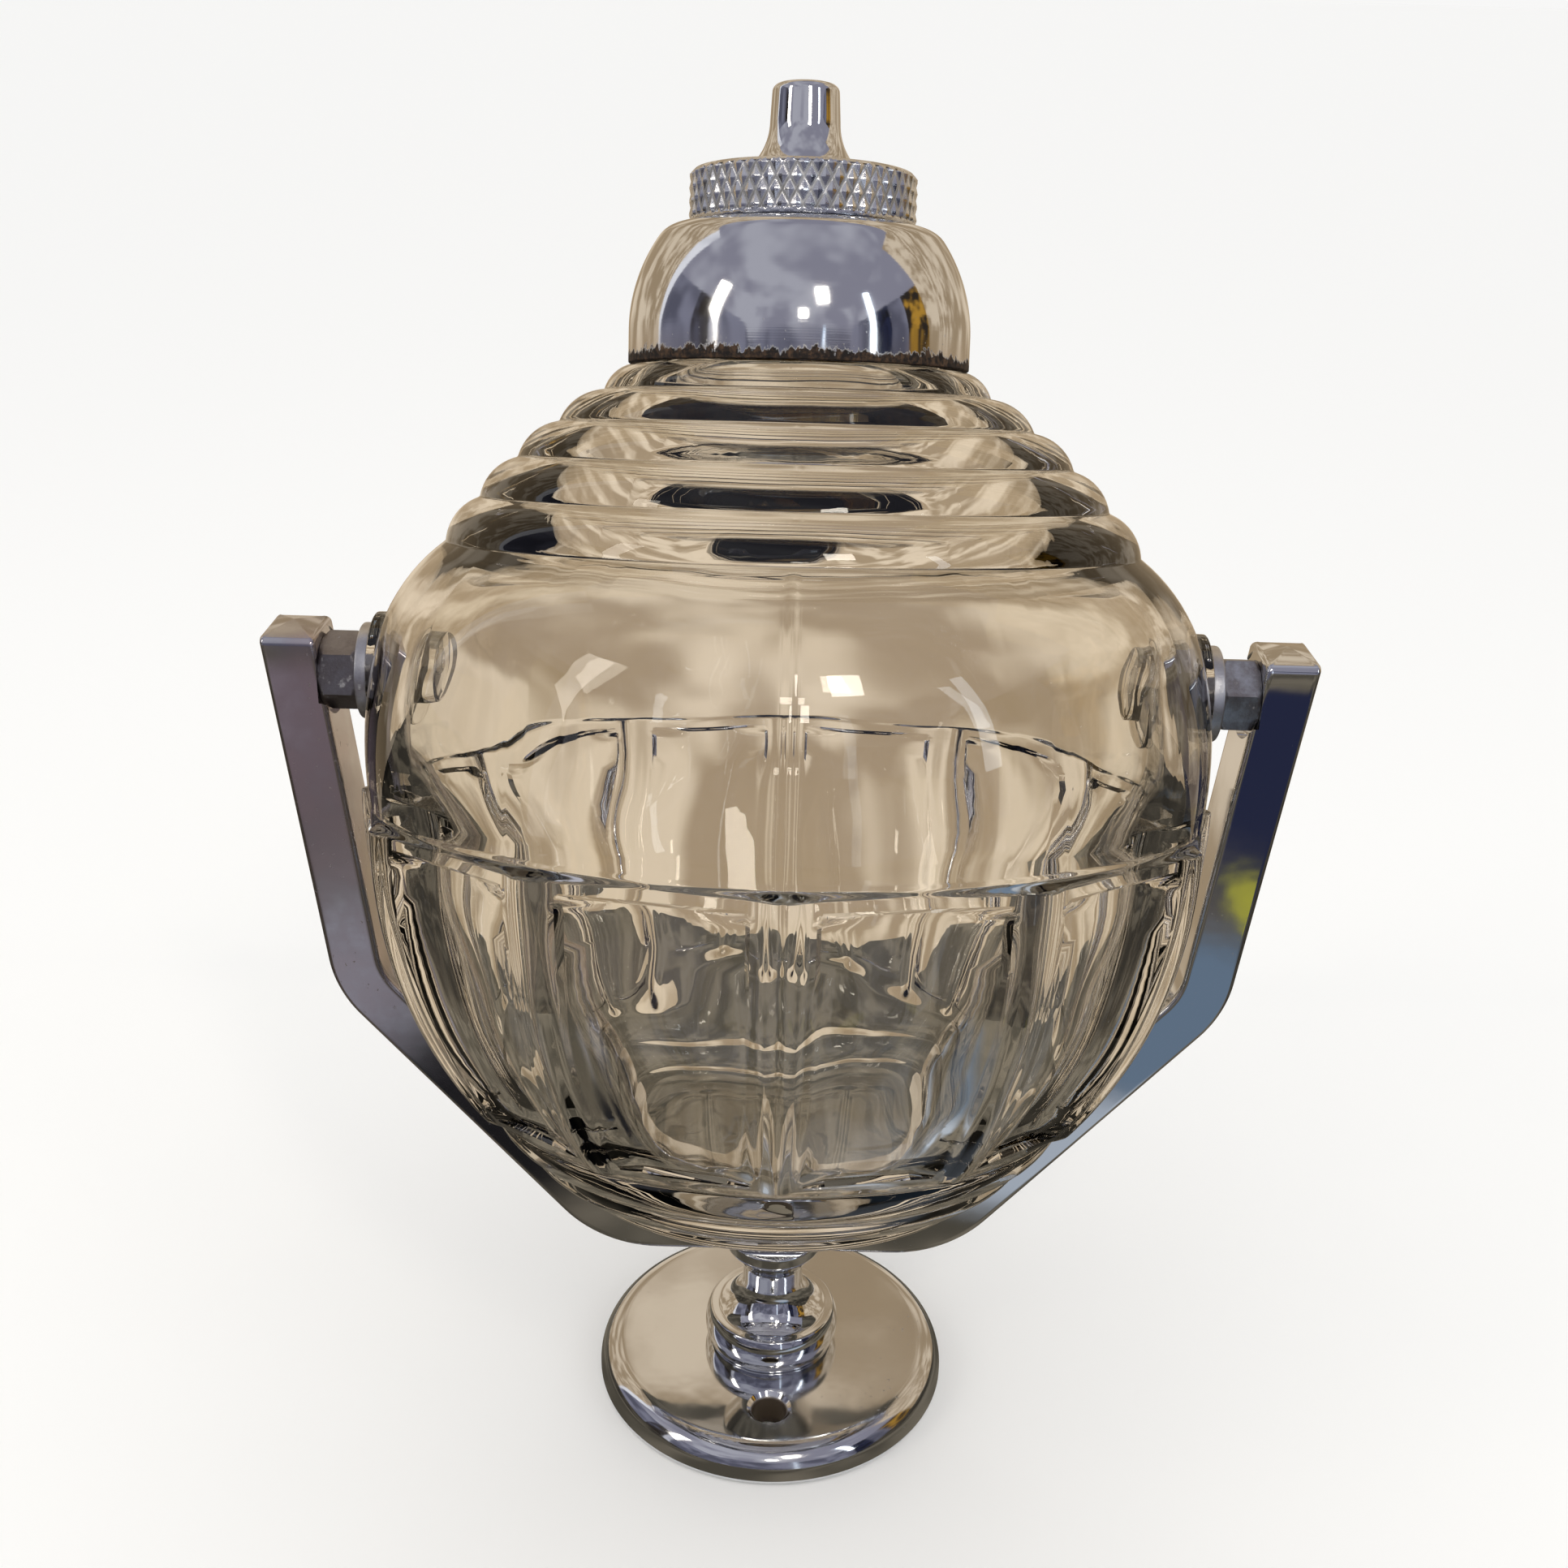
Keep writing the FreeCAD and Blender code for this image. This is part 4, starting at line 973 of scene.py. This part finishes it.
FLANGE_HIGH = stand_box("base_flange")[1]
STEM_LOW, STEM_HIGH = stand_box("stem")
NUT_LOW, NUT_HIGH = stand_box("pivot_nut_right")
PIVOT_HEIGHT = PIVOT[2] / MM
NUT_CORNER = NUT_FLATS / 2 / math.cos(math.pi / NUT_SIDES)
SPOT_FACE_RADIUS = NUT_CORNER + SPOT_FACE_CLEARANCE


def post(radius, start, end):
    """A plain round bar upright along Z."""
    bar = Trace(0, start).line(radius, start).line(radius, end).line(0, end)
    return turned(bar.points(CUT_EASE, ROD_STEP), evenly(POST_COLUMNS))


def make_flange():
    """The screw-down flange: a disc with a rounded rim, two countersunk holes and the bolt's pocket."""
    radius, height = FLANGE_HIGH[0], FLANGE_HIGH[2]
    rim = FLANGE_RIM_ROUND * (1 - math.sqrt(0.5))
    disc = Trace(0, 0).line(radius - FLANGE_FOOT_BEVEL, 0).line(radius, FLANGE_FOOT_BEVEL)
    disc.line(radius, height - FLANGE_RIM_ROUND)
    disc.arc(radius - FLANGE_RIM_ROUND, height, rim).line(0, height)
    profile = disc.points(FLANGE_EASE, reach=1.5, turn=5)
    mesh = mesh_of("flange", standing(turned(profile, evenly(FLANGE_COLUMNS))), ring=False)
    above = height + THROUGH
    pocket = post(BOLT_POCKET_RADIUS, -THROUGH, BOLT_POCKET_DEPTH)
    tools = [pocket, post(BOLT_HOLE_RADIUS, -THROUGH, above)]
    for side in (-1, 1):
        sink = Trace(0, -THROUGH).line(SCREW_HOLE_RADIUS, -THROUGH)
        sink.line(SCREW_HOLE_RADIUS, height - COUNTERSINK_DEPTH)
        sink.line(SCREW_HOLE_RADIUS + COUNTERSINK_DEPTH + THROUGH, above).line(0, above)
        cutter = turned(sink.points(COUNTERSINK_EASE, reach=1.0), evenly(ROD_COLUMNS))
        tools.append(cutter + (0, side * SCREW_HOLE_SPACING / 2, 0))
    cuts = [("DIFFERENCE", mesh_of("cut", standing(tool), ring=False)) for tool in tools]
    holes = [(0, side * SCREW_HOLE_SPACING / 2 * MM) for side in (-1, 1)]
    # The chrome paints shade into the bores of the two screw holes.
    finish = chrome("flange_chrome", 0.10, 0.35, holes)
    add_piece("flange_disc", carved(mesh, cuts), finish, "stand", "base_flange")


def make_stem():
    """The turned baluster: bulging foot, step, hollow neck and coned head."""
    foot, top = STEM_LOW[2], STEM_HIGH[2]
    step = foot + STEM_FOOT_HEIGHT
    flare = tangent_bulge(STEM_FLARE_HEIGHT, STEM_STEP_RADIUS - STEM_NECK_RADIUS)
    post_line = Trace(BOLT_HOLE_RADIUS, foot).line(STEM_FOOT_RADIUS, foot)
    post_line.arc(STEM_FOOT_RADIUS, step, STEM_FOOT_BULGE).line(STEM_STEP_RADIUS, step)
    post_line.arc(STEM_NECK_RADIUS, step + STEM_FLARE_HEIGHT, -flare)
    post_line.line(STEM_NECK_RADIUS, top - STEM_TOP_BAND - STEM_CONE_HEIGHT)
    post_line.line(STEM_TOP_RADIUS, top - STEM_TOP_BAND)
    post_line.line(STEM_TOP_RADIUS, top).line(BOLT_HOLE_RADIUS, top)
    profile = post_line.points(STEM_EASE, reach=0.8, turn=6, ring=True)
    mesh = mesh_of("stem", standing(turned(profile, evenly(STEM_COLUMNS))), ring=True)
    add_piece("baluster", mesh, chrome("stem_chrome", 0.05, 0.2), "stand", "stem")


def crossing(first, second):
    """Where two lines of the XZ plane meet, each given as its normal's angle and its distance."""
    (angle_1, distance_1), (angle_2, distance_2) = first, second
    span = math.sin(angle_2 - angle_1)
    x = distance_1 * math.sin(angle_2) - distance_2 * math.sin(angle_1)
    z = distance_2 * math.cos(angle_1) - distance_1 * math.cos(angle_2)
    return np.array([x, z]) / span


def bar_path():
    """Middle line of the yoke's bar in the XZ plane, from the pivot line: left arm, foot and right arm.

    Returns the points and the unit normals that point to the bar's outer face. Each bend is an arc
    tangent to the straight runs on both sides.
    """
    middle = BAR_THICKNESS / 2
    arm_face = NUT_HIGH[0] - SPOT_FACE_RADIUS * math.tan(ARM_SPLAY) + BAR_THICKNESS / math.cos(ARM_SPLAY)
    corner_reach = FOOT_RADIUS / math.cos(SIDE_TURN / 2)
    foot_reach = corner_reach * math.cos(SLANT) + FOOT_DROP * math.sin(SLANT)
    slant_face = foot_reach + SLANT_CLEARANCE + BAR_THICKNESS
    foot = (-math.pi / 2, PIVOT_HEIGHT - STEM_HIGH[2] - middle)
    slant = (-SLANT, slant_face - middle)
    arm = (-ARM_SPLAY, arm_face * math.cos(ARM_SPLAY) - middle)
    bends = [(crossing(foot, slant), -math.pi / 2, -SLANT, FOOT_BEND_RADIUS - middle),
             (crossing(slant, arm), -SLANT, -ARM_SPLAY, ARM_BEND_RADIUS - middle)]
    points, normals = [], []
    for corner, start, end, radius in bends:
        half = (end - start) / 2
        outward = np.array([math.cos(start + half), math.sin(start + half)])
        heart = corner - radius / math.cos(half) * outward
        for angle in np.linspace(start, end, BEND_ROWS):
            normal = np.array([math.cos(angle), math.sin(angle)])
            points.append(heart + radius * normal)
            normals.append(normal)
    arm_end = crossing(arm, (math.pi / 2, 0.0))
    points.append(arm_end)
    normals.append(normals[-1])
    points, normals = np.array(points), np.array(normals)
    mirror = np.array([-1, 1])
    both_points = np.concatenate([points[::-1] * mirror, points])
    return both_points, np.concatenate([normals[::-1] * mirror, normals])


def bar_section(inset):
    """Outline of the bar's section, thickness by depth with rounded edges, drawn in by inset."""
    half = np.array([BAR_THICKNESS / 2, BAR_DEPTH / 2]) - inset
    round_off = max(BAR_EDGE_ROUND - inset, BAR_LEAST_ROUND)
    outline = []
    for quarter in range(4):
        turn = quarter * math.pi / 2
        halfway = turn + math.pi / 4
        sign = np.sign([math.cos(halfway), math.sin(halfway)])
        arc = [sign * (half - round_off) + round_off * np.array([math.cos(angle), math.sin(angle)])
               for angle in np.linspace(turn, turn + math.pi / 2, BAR_EDGE_POINTS)]
        before = arc[0] - BAR_SUPPORT * np.array([-math.sin(turn), math.cos(turn)])
        after = arc[-1] + BAR_SUPPORT * np.array([-math.cos(turn), -math.sin(turn)])
        outline += [before] + arc + [after]
    return np.array(outline)


def bar_row(point, normal, section, end_rise=None):
    """One section of the bar at a point of its path; at an arm's end it reaches up to the crowned top."""
    x = point[0] + normal[0] * section[:, 0]
    z = point[1] + normal[1] * section[:, 0]
    if end_rise is not None:
        crown = end_rise - ARM_CROWN * (section[:, 1] / (BAR_DEPTH / 2)) ** 2
        x = x + (crown - z) * math.tan(ARM_SPLAY) * np.sign(point[0])
        z = crown
    return np.stack([x, section[:, 1], z + PIVOT_HEIGHT], axis=-1)


def make_yoke():
    """The yoke: a rounded flat bar swept along its U, crowned at the ends, spot-faced and drilled."""
    points, normals = bar_path()
    rows = [bar_row(point, normal, bar_section(0)) for point, normal in zip(points, normals)]
    ends = []
    for turn in np.linspace(0, math.pi / 2, CROWN_ROWS):
        inset = BAR_EDGE_ROUND * (1 - math.cos(turn))
        rise = ARM_RISE - BAR_EDGE_ROUND * (1 - math.sin(turn))
        ends.append((bar_section(inset), rise))
    ends.append((0 * bar_section(0), ARM_RISE))
    first = [bar_row(points[0], normals[0], section, rise) for section, rise in reversed(ends)]
    last = [bar_row(points[-1], normals[-1], section, rise) for section, rise in ends]
    grid = np.array(first + rows + last)
    mesh = mesh_of("bar", standing(grid), ring=False)
    tools = [post(TAP_RADIUS, STEM_HIGH[2] - THROUGH, STEM_HIGH[2] + BOLT_THREAD_DEPTH)]
    for side in (-1, 1):
        for radius, end in ((SPOT_FACE_RADIUS, NUT_HIGH[0]), (TAP_RADIUS, 2 * NUT_HIGH[0])):
            bar = rod(radius, NUT_LOW[0], end, CUT_EASE)
            tools.append(bar * (side, 1, 1) + (0, 0, PIVOT_HEIGHT))
    cuts = [("DIFFERENCE", mesh_of("cut", standing(tool), ring=False)) for tool in tools]
    add_piece("yoke_bar", carved(mesh, cuts), yoke_chrome("yoke_chrome"), "stand", "yoke")


def hexagonal(radius, height, angle):
    """Radii cut down to the nut's flats: half the width across flats over cos of the angle from a flat."""
    side = FULL_TURN / NUT_SIDES
    from_flat = (angle - NUT_TURN) % side - side / 2
    return np.minimum(radius, NUT_FLATS / 2 / np.cos(from_flat))


def put_on_pivot(points, side):
    """Points of the right pivot put on the pivot line, or turned round to the left if side is -1."""
    return standing(points * (side, side, 1) + (0, 0, PIVOT_HEIGHT))


def make_pivots():
    """A hexagon nut and a washer at each pivot, each with its own tone of dull zinc."""
    bevel = NUT_CORNER - NUT_FLATS / 2
    low, high = NUT_LOW[0], NUT_HIGH[0]
    nut = Trace(TAP_RADIUS, low).line(NUT_FLATS / 2, low).line(NUT_CORNER, low + bevel)
    nut.line(NUT_CORNER, high - bevel).line(NUT_FLATS / 2, high).line(TAP_RADIUS, high)
    nut_profile = nut.points(NUT_EASE, reach=0.8, turn=20, ring=True)
    nut_grid = along_x(turned(nut_profile, evenly(NUT_COLUMNS) + NUT_TURN, hexagonal))
    washer = Trace(WASHER_HOLE_RADIUS, WASHER_LOW[0]).line(WASHER_HIGH[2], WASHER_LOW[0])
    washer.line(WASHER_HIGH[2], WASHER_HIGH[0]).line(WASHER_HOLE_RADIUS, WASHER_HIGH[0])
    washer_profile = washer.points(WASHER_EASE, reach=1.0, turn=12, ring=True)
    washer_grid = along_x(turned(washer_profile, evenly(WASHER_COLUMNS)))
    tones = (("left", -1, rgb(0.34, 0.33, 0.34)), ("right", 1, rgb(0.50, 0.52, 0.56)))
    for name, side, tone in tones:
        finish = zinc("dull_zinc_" + name, tone, rgb(0.24, 0.22, 0.22))
        mesh = mesh_of("nut", put_on_pivot(nut_grid, side), ring=True)
        add_piece("hex_nut_" + name, mesh, finish, "stand", "pivot_nut_" + name)
        finish = zinc("bright_zinc_" + name, rgb(0.66, 0.67, 0.69), rgb(0.48, 0.48, 0.50))
        mesh = mesh_of("washer", put_on_pivot(washer_grid, side), ring=True)
        add_piece("round_washer_" + name, mesh, finish, "stand", "pivot_washer_" + name)


def finish_hidden_nodes():
    """Finishes for the plain CAD pieces that need no other shape."""
    groups = (
        (steel("old_steel"), ["pivot_screw_left", "pivot_screw_right", "stem_bolt", "stem_lock_washer"]),
        (brass("old_brass"), ["cap_thread_ring", "cap_nipple", "gasket_slip_ring"]),
        (rubber("old_rubber"), ["cap_gasket", "nozzle_gasket"]),
    )
    for finish, nodes in groups:
        for node in nodes:
            mesh = frame["nodes"][node].data
            mesh.materials.clear()
            mesh.materials.append(finish)


make_flange()
make_stem()
make_yoke()
make_pivots()
finish_hidden_nodes()


# Stage, light and camera

FLOOR_TONE = rgb(0.965, 0.965, 0.96)
FLOOR_SIZE = 80.0
FLOOR_DROP = 0.0003
CAMERA_PLACE = (-0.00040, -0.2426, 0.2196)
CAMERA_PITCH = 24.35
CAMERA_ROLL = 1.6
PICTURE_WIDTH = 1932
FOCAL_PIXELS = 2200
SENSOR_WIDTH = 36.0
CLIP_START = 0.005
WORLD_LIGHT = 0.96
WORLD_SHOWN = 0.935
ROOM_LEFT = -0.7
ROOM_WIDTH = 1.4
ROOM_FRONT = -0.82
SIDE_WALL = 0.55
POOL_HEIGHT = 0.0015
POOL_STEP = 0.0002
WALL_HEIGHT = 0.86
DADO_HEIGHT = 0.44
OBJECT_HEART = (0, 0, 0.12)
COOL, WARM = (0.86, 0.93, 1.0), (1.0, 0.93, 0.82)
# Each lamp's name, place, width, height, power and colour
LAMPS = (
    ("window", (0.128, -0.416, 0.504), 0.07, 0.10, 0.32, WARM),
    ("lamp", (0.02, -0.52, 0.42), 0.05, 0.06, 0.12, WARM),
    ("side_window", (-0.50, -0.27, 0.42), 0.09, 0.28, 0.36, WARM),
    ("strip", (0.42, -0.34, 0.36), 0.04, 0.30, 0.16, COOL),
)


def flat_mesh(name, corner, across, up):
    """A rectangle from one corner and its two sides."""
    corner, across, up = (np.array(side, float) for side in (corner, across, up))
    corners = np.array([corner, corner + across, corner + across + up, corner + up])
    mesh = bpy.data.meshes.new(name)
    mesh.from_pydata(corners.tolist(), [], [(0, 1, 2, 3)])
    return mesh


def set_stage(name, mesh, finish):
    """Puts a piece of the studio into the scene; it isn't part of the object."""
    piece = bpy.data.objects.new(name, mesh)
    bpy.context.scene.collection.objects.link(piece)
    mesh.materials.append(finish)
    return piece


def make_floor():
    """A wide pale floor just under the flange."""
    half = FLOOR_SIZE / 2
    mesh = flat_mesh("floor", (-half, -half, -FLOOR_DROP), (FLOOR_SIZE, 0, 0), (0, FLOOR_SIZE, 0))
    set_stage("floor", mesh, Finish("pale_floor").done({"Base Color": FLOOR_TONE, "Roughness": 0.9}))


def hide_card(piece):
    """Keeps a card out of the picture and out of the light, for chrome and glass alone to show."""
    piece.visible_camera = False
    piece.visible_diffuse = False
    piece.visible_shadow = False


def glow(finish, tone, cover=1.0):
    """Closes a card's finish: black, with a glow of one tone or of a pattern, where it covers."""
    return finish.done({
        "Base Color": rgb(0, 0, 0),
        "Specular IOR Level": 0.0,
        "Emission Color": tone,
        "Emission Strength": 1.0,
        "Alpha": cover,
    })


def card(name, corner, across, up, tone, patch, size):
    """A coloured card that glows with one tone, and with a second in soft patches of size millimetres."""
    finish = Finish(name)
    patches = finish.noise(finish.place(), size, 2).between(0.42, 0.62)
    glowing = glow(finish, finish.blend(patches, tone, patch))
    hide_card(set_stage(name, flat_mesh(name, corner, across, up), glowing))


def pool(name, height, middle, half_width, half_depth, tone):
    """A soft-edged oval of one tone on the table, for the front of the yoke to show.

    Its cover falls from full to none between half of the oval's reach and the whole of it, where
    reach is the length of the point's offset from the middle, each part over its half size.
    """
    finish = Finish(name)
    here = finish.node("ShaderNodeTexCoord", output="Object")
    offset = finish.vector("SUBTRACT", here, (*middle, height))
    reach = finish.length(finish.vector("DIVIDE", offset, (half_width, half_depth, 1)))
    glowing = glow(finish, tone, 1.0 - reach.between(0.5, 1.0))
    corner = (middle[0] - half_width, middle[1] - half_depth, height)
    mesh = flat_mesh(name, corner, (2 * half_width, 0, 0), (0, 2 * half_depth, 0))
    hide_card(set_stage(name, mesh, glowing))


def make_cards():
    """A closed room of cards: tan behind, an olive table, lilac above, and patterned walls in front."""
    olive, pale_olive = rgb(0.085, 0.075, 0.057), rgb(0.19, 0.165, 0.125)
    shade, pale_shade = rgb(0.035, 0.031, 0.025), rgb(0.11, 0.095, 0.072)
    tan, pale_tan = rgb(0.40, 0.30, 0.19), rgb(0.76, 0.63, 0.47)
    navy, black = rgb(0.022, 0.026, 0.060), rgb(0.012, 0.012, 0.014)
    lilac, grey = rgb(0.28, 0.275, 0.34), rgb(0.46, 0.46, 0.52)
    slate, dusk = rgb(0.11, 0.11, 0.15), rgb(0.24, 0.24, 0.31)
    amber, soot = rgb(0.50, 0.27, 0.04), rgb(0.030, 0.024, 0.020)
    white, sky = rgb(0.90, 0.90, 0.95), rgb(0.8, 1.0, 1.3)
    wide_cards = (
        ("card_behind", 0.13, 0.003, (0, 0.15, WALL_HEIGHT), tan, pale_tan, 50),
        ("card_table", -0.06, 0.001, (0, 0.20, 0), olive, pale_olive, 30),
        ("card_table_front", ROOM_FRONT, 0.001, (0, 0.76, 0), olive, pale_olive, 90),
        ("card_above", ROOM_FRONT, 0.62, (0, 1.1, 0.24), lilac, grey, 400),
        ("card_front", -0.80, 0.002, (0, 0, DADO_HEIGHT), slate, dusk, 300),
        ("card_front_high", -0.80, DADO_HEIGHT, (0, 0, 0.2), lilac, grey, 400),
    )
    for name, depth, height, up, tone, patch, size in wide_cards:
        card(name, (ROOM_LEFT, depth, height), (ROOM_WIDTH, 0, 0), up, tone, patch, size)
    for name, x, length in (("card_left_high", -0.551, 0.96), ("card_right_high", 0.551, 0.87)):
        card(name, (x, ROOM_FRONT, DADO_HEIGHT), (0, length, 0), (0, 0, 0.5), lilac, grey, 400)
    card("card_streak", (0.22, -0.79, 0.0), (0.03, 0, 0), (0, 0, DADO_HEIGHT), sky, rgb(1.5, 1.6, 1.7), 60)
    card("card_ramp_left", (-0.14, -0.15, 0.001), (-0.4, 0, 0.11), (0, 0.30, 0), shade, pale_shade, 40)
    card("card_ramp_right", (0.14, -0.15, 0.001), (0.4, 0, 0.11), (0, 0.30, 0), shade, pale_shade, 40)
    walls = (
        ("wall_left", -SIDE_WALL, ROOM_FRONT, 0.14, DADO_HEIGHT, slate, dusk, 300),
        ("wall_pane", -0.54, -0.33, -0.27, DADO_HEIGHT, white, grey, 120),
        ("wall_door", -0.54, -0.27, -0.12, DADO_HEIGHT, soot, slate, 200),
        ("wall_gap", -SIDE_WALL, 0.14, 0.24, WALL_HEIGHT, white, grey, 400),
        ("wall_left_back", -SIDE_WALL, 0.24, 0.32, WALL_HEIGHT, pale_tan, tan, 110),
        ("wall_right", SIDE_WALL, ROOM_FRONT, -0.12, DADO_HEIGHT, dusk, slate, 300),
        ("wall_post", 0.54, -0.42, -0.26, DADO_HEIGHT, navy, black, 90),
        ("wall_amber", SIDE_WALL, -0.12, 0.05, DADO_HEIGHT, soot, amber, 90),
        ("wall_right_back", SIDE_WALL, 0.05, 0.32, WALL_HEIGHT, pale_tan, tan, 110),
    )
    for name, x, front, back, height, tone, patch, size in walls:
        card(name, (x, front, 0.002), (0, back - front, 0), (0, 0, height), tone, patch, size)
    pools = (
        ("pool_mauve", (-0.19, -0.33), 0.14, 0.19, rgb(0.26, 0.21, 0.24)),
        ("pool_lavender", (-0.105, -0.13), 0.035, 0.06, rgb(0.44, 0.44, 0.50)),
        ("pool_black", (-0.058, -0.082), 0.045, 0.045, black),
        ("pool_navy", (0.19, -0.30), 0.15, 0.22, navy),
        ("pool_steel", (0.095, -0.12), 0.05, 0.06, rgb(0.15, 0.21, 0.29)),
        ("pool_pale", (0.050, -0.072), 0.05, 0.028, rgb(0.46, 0.51, 0.58)),
        ("pool_lime", (0.125, -0.178), 0.012, 0.026, rgb(0.42, 0.40, 0.06)),
    )
    for order, (name, middle, half_width, half_depth, tone) in enumerate(pools):
        pool(name, POOL_HEIGHT + order * POOL_STEP, middle, half_width, half_depth, tone)


def make_world():
    """A pale world: the camera, metal and glass see it at one level, and it lights at another."""
    world = bpy.data.worlds.new("pale_room")
    bpy.context.scene.world = world
    world.use_nodes = True
    tree = world.node_tree
    tree.nodes.clear()
    path = tree.nodes.new("ShaderNodeLightPath")
    seen = path.outputs["Is Camera Ray"]
    for ray in ("Is Glossy Ray", "Is Transmission Ray"):
        either = tree.nodes.new("ShaderNodeMath")
        either.operation = "MAXIMUM"
        tree.links.new(seen, either.inputs[0])
        tree.links.new(path.outputs[ray], either.inputs[1])
        seen = either.outputs[0]
    level = tree.nodes.new("ShaderNodeMapRange")
    level.inputs["To Min"].default_value = WORLD_LIGHT
    level.inputs["To Max"].default_value = WORLD_SHOWN
    tree.links.new(seen, level.inputs["Value"])
    background = tree.nodes.new("ShaderNodeBackground")
    background.inputs["Color"].default_value = rgb(1.0, 0.997, 0.99)
    tree.links.new(level.outputs[0], background.inputs["Strength"])
    output = tree.nodes.new("ShaderNodeOutputWorld")
    tree.links.new(background.outputs[0], output.inputs["Surface"])


def soft_box(name, place, width, height, power, colour):
    """A rectangular lamp that faces the middle of the object."""
    lamp = bpy.data.lights.new(name, "AREA")
    lamp.shape = "RECTANGLE"
    lamp.size = width
    lamp.size_y = height
    lamp.energy = power
    lamp.color = colour
    box = bpy.data.objects.new(name, lamp)
    box.location = place
    box.rotation_euler = (Vector(OBJECT_HEART) - Vector(place)).to_track_quat("-Z", "Y").to_euler()
    bpy.context.scene.collection.objects.link(box)


def make_camera():
    """The camera at the photograph's place, pitched down and rolled a little."""
    data = bpy.data.cameras.new("camera")
    data.sensor_width = SENSOR_WIDTH
    data.lens = FOCAL_PIXELS / PICTURE_WIDTH * SENSOR_WIDTH
    data.clip_start = CLIP_START
    camera = bpy.data.objects.new("camera", data)
    pitch = Matrix.Rotation(math.radians(90 - CAMERA_PITCH), 4, "X")
    roll = Matrix.Rotation(math.radians(CAMERA_ROLL), 4, "Z")
    camera.matrix_world = Matrix.Translation(CAMERA_PLACE) @ pitch @ roll
    bpy.context.scene.collection.objects.link(camera)
    bpy.context.scene.camera = camera


make_floor()
make_cards()
make_world()
for lamp in LAMPS:
    soft_box(*lamp)
make_camera()
bpy.context.scene.view_settings.view_transform = "Standard"
